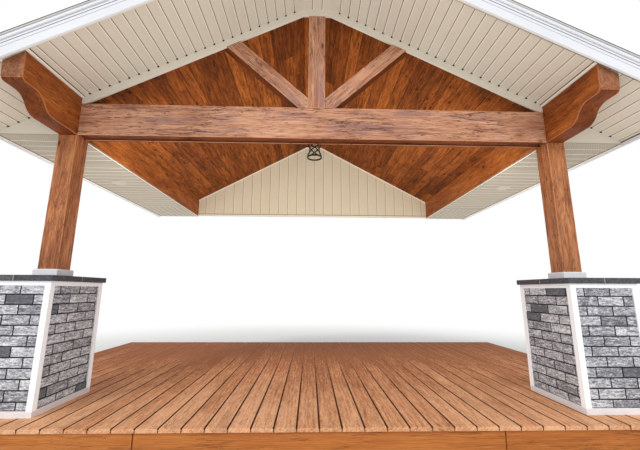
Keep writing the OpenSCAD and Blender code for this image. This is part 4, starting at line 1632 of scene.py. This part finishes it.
@dataclass
class Fascias:
    """White boards along the rakes and the eaves, with faint lengthwise lines of painted shade."""

    lines: Lines
    arris: float = 0.002  # Chamfer of the boards
    foot_h: float = 0.01  # Height above the rake boards' lowest point within which their front is read
    # Each line's distance above the rake boards' lower edge, and its height
    beads: tuple[Pair, ...] = ((0.078, 0.0009), (0.1085, 0.0050))
    bead_t: float = 0.0015  # How far a line stands in front of the boards
    bead_end: float = 0.003  # Distance of its end from theirs

    def build(self) -> None:
        """Make and dress the fascias."""
        for side in Side:
            grain = Grain[f"SLOPE_{side.name}"]
            self.bead(side, grain)
            carved(f"rake_fascia_{side.word}", FASCIA_WHITE, grain, "white_fascia", self.arris)
            carved(f"eave_fascia_{side.word}", FASCIA_WHITE, Grain.DEEP, "white_fascia", self.arris)

    def bead(self, side: Side, grain: Grain) -> None:
        """Add the lines on one rake board: thin strips in the groove tone, painted shade.

        Args:
            side: Which side.
            grain: Way that the board runs.
        """
        node = f"rake_fascia_{side.word}"
        low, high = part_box(node)
        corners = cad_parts[node].data.vertices
        face = min(corner.co.y for corner in corners if corner.co.z < low.z + self.foot_h)
        reach = max(abs(low.x), abs(high.x)) - self.bead_end
        flat = self.lines.peak_x
        shape = Shape()
        for height, bead_h in self.beads:
            start = self.lines.rake_z - (self.lines.under_z - low.z) + height
            line = [(0.0, start), (flat, start), (reach, start - self.lines.fall * (reach - flat))]
            shape.prism(band(line, -bead_h), deep(side), face - self.bead_t, face + LAP, GROOVE)
        shape.piece(f"fascia_beads_{side.word}", FASCIA_WHITE, grain, "white_fascia")


@dataclass
class RoofSlope:
    """One slope of the roof's covering: boarding, felt, and shingles laid in courses."""

    lines: Lines
    side: Side  # Which slope it is
    tab_t: float = 0.0042  # Thickness of a tab
    tab_w: Pair = (0.13, 0.33)  # Least and greatest width of a tab
    tab_gap: float = 0.002  # Gap between tabs
    tab_cut: float = 0.2  # Greatest width cut off the first tab of a course
    tab_least: float = 0.01  # Least width of the tabs at the ends of a course
    bed: float = 0.012  # Upright depth of the shingles' bed below the roof's top
    butt_down: float = 0.0006  # How far a tab's butt lies below the roof's top, measured square to it
    # Upright depth of the boarding below the roof's top, and its upright thickness
    sheath: Pair = (0.012, 0.026)
    felt: Pair = (0.009, 0.003)  # The same of the felt
    ends: Pair = (0.0004, 0.0092)  # The same of the shingles' cut ends, painted darker than the shingles as shade
    drip_face: Pair = (0.0095, 0.007)  # The same of the drip edge's face
    drip_flange: Pair = (0.0135, 0.003)  # The same of its flange
    sheath_in: float = 0.012  # How far the boarding ends behind the eave fascia's face
    sheath_y: float = 0.030  # How far it starts behind the roof's front
    # How far the cut ends lie behind the roof's front, and how far they reach back
    ends_y: Pair = (0.0002, 0.004)
    drip_t: float = 0.0015  # Thickness of the drip edge's face
    drip_y: float = 0.03  # How far its flange reaches back
    low: Vector = field(init=False)  # Lowest corner of the slope's box
    high: Vector = field(init=False)  # Highest corner of it
    eave: float = field(init=False)  # Distance of the eave from the centre

    def __post_init__(self) -> None:
        """Read the slope's place from the frame."""
        self.low, self.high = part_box(f"roof_{self.side.word}")
        self.eave = max(abs(self.low.x), abs(self.high.x))

    def build(self) -> None:
        """Make and dress the slope."""
        self.shingles()
        self.boarding()
        self.edges()

    def shingles(self) -> None:
        """Lay the shingles."""
        tilt = self.lines.tilt
        draw = random.Random(41 + self.side.value)
        run = self.eave / math.cos(tilt)
        place = Matrix.Translation((0, 0, self.high.z)) @ Matrix.Scale(self.side.value, 4, (1, 0, 0))
        place = place @ Matrix.Rotation(tilt, 4, "Y")
        half = self.tab_gap / 2
        tabs = Shape()
        for row in range(math.ceil(run / EXPOSURE)):
            butt = run - row * EXPOSURE
            head = max(butt - EXPOSURE - OVERLAP, 0.0)
            y = self.low.y - draw.uniform(0.0, self.tab_cut)
            while y < self.high.y:
                width = draw.uniform(*self.tab_w)
                y0, y1 = max(y, self.low.y + self.drip_t), min(y + width, self.high.y)
                if y1 - y0 > self.tab_least:
                    tabs.loft(self.tab(place, head, butt, y0 + half, y1 - half), draw.random())
                y += width
        node = [f"roof_{self.side.word}"]
        tabs.piece(f"shingles_{self.side.word}", ROOF_DARK, Grain.ACROSS, "roof_shingles", node)

    def tab(self, place: Matrix, head: float, butt: float, y0: float, y1: float) -> list[list[Vector]]:
        """Shape one tab, its head under the course above it.

        Args:
            place: Where the slope's own frame lies, with its top at the crown.
            head: Distance of the tab's head from the crown.
            butt: Distance of its butt from the crown.
            y0: Its front edge.
            y1: Its rear edge.

        Returns:
            The rings of corners at its head and at its butt.
        """
        rest = -self.bed * math.cos(self.lines.tilt) + LAP
        rings = []
        for s, z in ((head, rest), (butt, -self.tab_t - self.butt_down)):
            corners = [(s, y0, z), (s, y1, z), (s, y1, z + self.tab_t), (s, y0, z + self.tab_t)]
            rings.append([place @ Vector(corner) for corner in corners])
        return rings

    def layer(self, shape: Shape, reach: float, sizes: Pair, y0: float, y1: float) -> None:
        """Add a layer that runs down the slope.

        Args:
            shape: The layers so far.
            reach: How far it reaches from the centre.
            sizes: Its upright depth below the roof's top, and its upright thickness.
            y0: Distance of its front from the roof's.
            y1: Distance of its rear from the roof's front.
        """
        top = self.high.z - sizes[0]
        line = [(0.0, top), (reach, top - self.lines.fall * reach)]
        shape.prism(band(line, sizes[1]), deep(self.side), self.low.y + y0, self.low.y + y1)

    def boarding(self) -> None:
        """Lay the boarding and the felt."""
        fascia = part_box(f"eave_fascia_{self.side.word}")
        edge = max(abs(fascia[0].x), abs(fascia[1].x)) - self.sheath_in
        depth = self.high.y - self.low.y
        shape = Shape()
        self.layer(shape, edge, self.sheath, self.sheath_y, depth)
        self.layer(shape, self.eave, self.felt, self.drip_t, depth)
        node = [f"roof_{self.side.word}"]
        shape.piece(f"roof_boarding_{self.side.word}", ROOF_DARK, Grain.ACROSS, "roof_shingles", node)

    def edges(self) -> None:
        """Make the shingles' cut ends, painted darker as shade, and the drip edge along the rake."""
        grain = Grain[f"SLOPE_{self.side.name}"]
        ends = Shape()
        self.layer(ends, self.eave, self.ends, *self.ends_y)
        ends.piece(f"shingle_ends_{self.side.word}", SHINGLE_END_SHADE, grain, "roof_shingles")
        drip = Shape()
        self.layer(drip, self.eave, self.drip_face, 0.0, self.drip_t)
        self.layer(drip, self.eave, self.drip_flange, self.drip_t, self.drip_y)
        drip.piece(f"drip_edge_{self.side.word}", DRIP_GREY, grain, "white_fascia")


@dataclass
class RidgeCap:
    """Folded pieces along the ridge."""

    lines: Lines
    thick: float = 0.005  # Thickness of a piece
    drop: float = 0.0055  # How far the covered end of a piece lies below its free end

    def build(self) -> None:
        """Lay the pieces."""
        low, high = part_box("ridge_cap")
        draw = random.Random(47)
        side_z = -self.lines.fall * high.x
        section = band([(-high.x, side_z), (0.0, 0.0), (high.x, side_z)], self.thick)
        shape = Shape()
        for y in steps(low.y, high.y, EXPOSURE):
            ends = ((y, high.z), (min(y + EXPOSURE + OVERLAP, high.y), high.z - self.drop))
            shape.loft([[(x, place, top + z) for x, z in section] for place, top in ends], draw.random())
        shape.piece("ridge_tabs", ROOF_DARK, Grain.ACROSS, "roof_shingles", ["ridge_cap"])


@dataclass
class GableInfill:
    """Upright siding that closes the gable at the wall."""

    lines: Lines
    pitch: float = 0.180  # Distance from board to board
    phase: float = 0.023  # Place of the joint nearest the middle
    least_w: float = 0.02  # Least width of a board at the ends
    groove_w: float = 0.007  # Width of the grooves between boards
    groove_d: float = 0.005  # Depth of the grooves
    lip_w: float = 0.016  # Width of the raised lip beside a groove, which carries a painted highlight
    lip_t: float = 0.001  # How far the lip stands proud
    rail_h: float = 0.030  # Height of the strip along the bottom
    strip_w: float = 0.030  # Width of the strip under the ceiling
    strip_t: float = 0.006  # Thickness of both strips
    shade_h: float = 0.012  # Height of the shadow above the bottom strip
    arris: float = 0.001  # Chamfer of the strips
    low: Vector = field(init=False)  # Lowest corner of the infill
    high: Vector = field(init=False)  # Highest corner of it

    def __post_init__(self) -> None:
        """Read the place of the infill from the frame."""
        self.low, self.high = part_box("gable_siding")

    def build(self) -> None:
        """Make and dress the infill."""
        self.boards()
        self.strips()

    def boards(self) -> None:
        """Fix the boards, and mark the shadow above the bottom strip."""
        foot, front, back = self.low.z, self.low.y + self.strip_t, self.high.y
        reach = self.lines.in_x
        first = self.phase - math.floor((self.phase + reach) / self.pitch) * self.pitch
        joints = [x for x in steps(first, reach, self.pitch) if x > -reach + self.least_w]
        cuts = [-reach, *joints, reach]
        shape = Shape()
        for x0, x1 in zip(cuts, cuts[1:]):
            groove, lip = x0 + self.groove_w, x0 + self.groove_w + self.lip_w
            # The groove strip takes the groove tone, painted shade, and the lip the raised-edge tone, a
            # painted highlight
            self.board(shape, foot, (x0, groove), (front + self.groove_d, back), GROOVE)
            self.board(shape, foot, (groove, lip), (front - self.lip_t, back), CREST)
            self.board(shape, foot, (lip, x1), (front, back), PLAIN)
        rail = foot + self.rail_h
        near, far = front - 2 * LAP, front + LAP
        shape.block((-reach, near, rail - 2 * LAP), (reach, far, rail + self.shade_h), GROOVE)
        shape.piece("gable_boards", SIDING_CREAM, Grain.UPRIGHT, "gable_panel", ["gable_siding"])

    def board(self, shape: Shape, foot: float, edges: Pair, depth: Pair, tone: float) -> None:
        """Add an upright strip of siding that ends under the ceiling.

        Args:
            shape: The siding so far.
            foot: Height of its foot.
            edges: Its left and its right edge.
            depth: Its front and its rear.
            tone: Its tone.
        """
        x0, x1 = edges
        peak = self.lines.peak_x
        breaks = [x for x in (peak, -peak) if x0 < x < x1]
        tops = [(x, min(self.lines.ceiling_at(abs(x)), self.lines.peak_z)) for x in (x1, *breaks, x0)]
        shape.prism([(x0, foot), (x1, foot), *tops], deep(), *depth, tone)

    def strips(self) -> None:
        """Fix the strips along the bottom and under the ceiling."""
        lines, low, high = self.lines, self.low, self.high
        shape = Shape()
        rail = (lines.in_x, high.y - LAP, low.z + self.rail_h)
        shape.block((-lines.in_x, low.y, low.z), rail)
        peak, corner = (lines.peak_x, lines.peak_z), (lines.in_x, lines.beam_z)
        back = low.y + self.strip_t + 2 * LAP
        for side in Side:
            shape.prism(band([peak, corner], self.strip_w), deep(side), low.y, back)
        shape.prism(band([(-peak[0], peak[1]), peak], self.strip_w), deep(), low.y, back)
        shape.piece("gable_strips", GABLE_TRIM, Grain.ACROSS, "gable_panel", ["gable_siding"], self.arris)


@dataclass
class Lights:
    """The hanging lantern and the two soffit lights."""

    hanger_arris: float = 0.001  # Width of the hanger's eased edges
    cage_arris: float = 0.0006  # Chamfer of the cage
    cage_coat: float = 0.0048  # Thickness of the coat that the cage gets
    lamp_arris: float = 0.0008  # Width of the soffit lights' eased edges

    def build(self) -> None:
        """Dress the lights."""
        metal = (LANTERN_BLACK, Grain.ACROSS, "black_metal")
        carved("lantern_hanger", *metal, self.hanger_arris, segments=2)
        carved("lantern_cage", *metal, self.cage_arris, swell=self.cage_coat)
        paint_node("lantern_glass", LANTERN_CLEAR, Grain.ACROSS)
        paint_node("lantern_bulb", BULB_FROST, Grain.ACROSS)
        carved("soffit_lights", LAMP_WHITE, Grain.ACROSS, "lamp_white", self.lamp_arris, segments=2)


@dataclass(frozen=True)
class Lamp:
    """One lamp of the studio: a soft panel if it has a size, and otherwise a sun."""

    title: str  # The lamp's name
    energy: float  # Its strength
    colour: tuple[float, float, float]  # The light's colour
    way: tuple[float, float, float]  # Way that it shines
    place: tuple[float, float, float] = (0.0, 0.0, 0.0)  # Its middle
    size: Pair | None = None  # Width and depth of a panel
    spread: float = 12.0  # Angle in degrees that a sun takes up in the sky

    def hang(self) -> None:
        """Put the lamp in the scene, where a panel lights things but isn't seen itself."""
        data = bpy.data.lights.new(self.title, "AREA" if self.size else "SUN")
        data.energy = self.energy
        data.color = self.colour
        lamp = bpy.data.objects.new(self.title, data)
        lamp.rotation_euler = Vector(self.way).to_track_quat("-Z", "Y").to_euler()
        lamp.location = self.place
        if self.size:
            data.shape = "RECTANGLE"
            data.size, data.size_y = self.size
            lamp.visible_camera = False
            lamp.visible_glossy = False
        else:
            data.angle = math.radians(self.spread)
        bpy.context.scene.collection.objects.link(lamp)


@dataclass
class Studio:
    """Floor, background, lamps and camera."""

    lens: float = 19.16  # Focal length in millimetres
    film: float = 36.0  # Width of the film in millimetres
    sight: float = 500.0  # How far the camera sees
    camera: tuple[float, float, float] = (-0.0482, -4.5107, 1.3433)  # Place of the camera
    yaw: float = 0.0280  # Turn of the camera to the right, in radians
    pitch: float = 0.1910  # Turn of the camera upwards, in radians
    roll: float = 0.0041  # Turn of the camera about its own axis, in radians
    sky: float = 0.95  # Strength of the light from the front, above and the sides
    sky_tint: tuple[float, float, float, float] = (0.96, 0.98, 1.0, 1.0)  # Colour of that light
    rear: Pair = (-0.4, 0.5)  # Where, from the middle to the back, that light gets weaker
    rear_loss: float = 0.55  # How much weaker it is from behind
    # The main lamp, one above the deck for the undersides, and one for the gable at the wall
    lamps: tuple[Lamp, ...] = (
        Lamp("sun", 0.8, (1.0, 0.96, 0.91), (0.45, 0.75, -0.62)),
        Lamp("fill", 240.0, (0.97, 1.0, 0.97), (0.0, 0.0, 1.0), (0.0, -1.0, 0.43), (14.0, 11.0)),
        Lamp("inner", 52.0, (0.94, 1.0, 1.0), (0.0, 1.0, 0.2), (0.0, -1.2, 2.45), (4.0, 0.4)),
    )
    floor_r: float = 60.0  # Radius of the floor
    floor_z: float = -0.002  # Height of the floor
    floor_fade: Pair = (5.0, 11.0)  # Distances between which the floor fades into the background
    floor_tint: Shade = Shade(238, 237, 234)  # Colour of the floor

    def build(self) -> None:
        """Set up the studio."""
        self.place_camera()
        self.lay_floor()
        self.light_world()
        for lamp in self.lamps:
            lamp.hang()

    def place_camera(self) -> None:
        """Put the camera at the photograph's place and angle."""
        ahead = Vector((math.sin(self.yaw), math.cos(self.yaw), 0))
        right = Vector((math.cos(self.yaw), -math.sin(self.yaw), 0))
        up = Vector((0, 0, 1))
        look = ahead * math.cos(self.pitch) + up * math.sin(self.pitch)
        top = up * math.cos(self.pitch) - ahead * math.sin(self.pitch)
        level = right * math.cos(self.roll) + top * math.sin(self.roll)
        upright = top * math.cos(self.roll) - right * math.sin(self.roll)
        data = bpy.data.cameras.new("camera")
        data.lens = self.lens
        data.sensor_width = self.film
        data.sensor_fit = "HORIZONTAL"
        data.clip_end = self.sight
        camera = bpy.data.objects.new("camera", data)
        turn = Matrix((level, upright, -look)).transposed().to_4x4()
        camera.matrix_world = Matrix.Translation(self.camera) @ turn
        bpy.context.scene.collection.objects.link(camera)
        bpy.context.scene.camera = camera

    def lay_floor(self) -> None:
        """Lay a pale floor that fades into the background."""
        body = bmesh.new()
        bmesh.ops.create_circle(body, cap_ends=True, radius=self.floor_r, segments=64)
        mesh = bpy.data.meshes.new("floor")
        body.to_mesh(mesh)
        body.free()
        floor = bpy.data.objects.new("floor", mesh)
        floor.location.z = self.floor_z
        tree = Tree(bpy.data.materials.new("floor_pale"))
        where = tree.make("ShaderNodeTexCoord", output="Object")
        far = tree.make("ShaderNodeVectorMath", {"operation": "LENGTH"}, {0: where}, 1)
        share = far.rise(*self.floor_fade) * tree.seen()
        matt = tree.make("ShaderNodeBsdfDiffuse", None, {"Color": self.floor_tint})
        glow = tree.make("ShaderNodeEmission", None, {"Color": Shade(255, 255, 255), "Strength": 1.0})
        both = tree.make("ShaderNodeMixShader", None, {0: share, 1: matt, 2: glow})
        mesh.materials.append(tree.finish(both))
        bpy.context.scene.collection.objects.link(floor)

    def light_world(self) -> None:
        """Light the canopy softly from all around, less from behind, before a white background."""
        world = bpy.data.worlds.new("studio")
        bpy.context.scene.world = world
        tree = Tree(world, "ShaderNodeOutputWorld")
        _, back, _ = tree.make("ShaderNodeTexCoord", output="Generated").parts()
        strength = self.sky - back.rise(*self.rear) * self.rear_loss
        lit = tree.make("ShaderNodeBackground", None, {"Color": self.sky_tint, "Strength": strength})
        white = tree.make("ShaderNodeBackground", None, {"Color": Shade(255, 255, 255), "Strength": 1.0})
        tree.finish(tree.make("ShaderNodeMixShader", None, {0: tree.seen(), 1: lit, 2: white}))


def main() -> None:
    """Build the studio, then the canopy's sub-assemblies in order."""
    logging.basicConfig(level=logging.INFO, format="%(message)s")
    bpy.context.scene.view_settings.view_transform = "Standard"
    noise.seed_set(7)
    Studio().build()
    lines = Lines.read()
    assemblies = [
        Deck(), *[Pedestal(side) for side in Side], TimberFrame(), Ceiling(lines), Soffits(lines),
        Fascias(lines), *[RoofSlope(lines, side) for side in Side], RidgeCap(lines),
        GableInfill(lines), Lights(),
    ]
    for assembly in assemblies:
        assembly.build()
        LOG.info("%s is built", type(assembly).__name__)


if __name__ == "__main__":
    main()
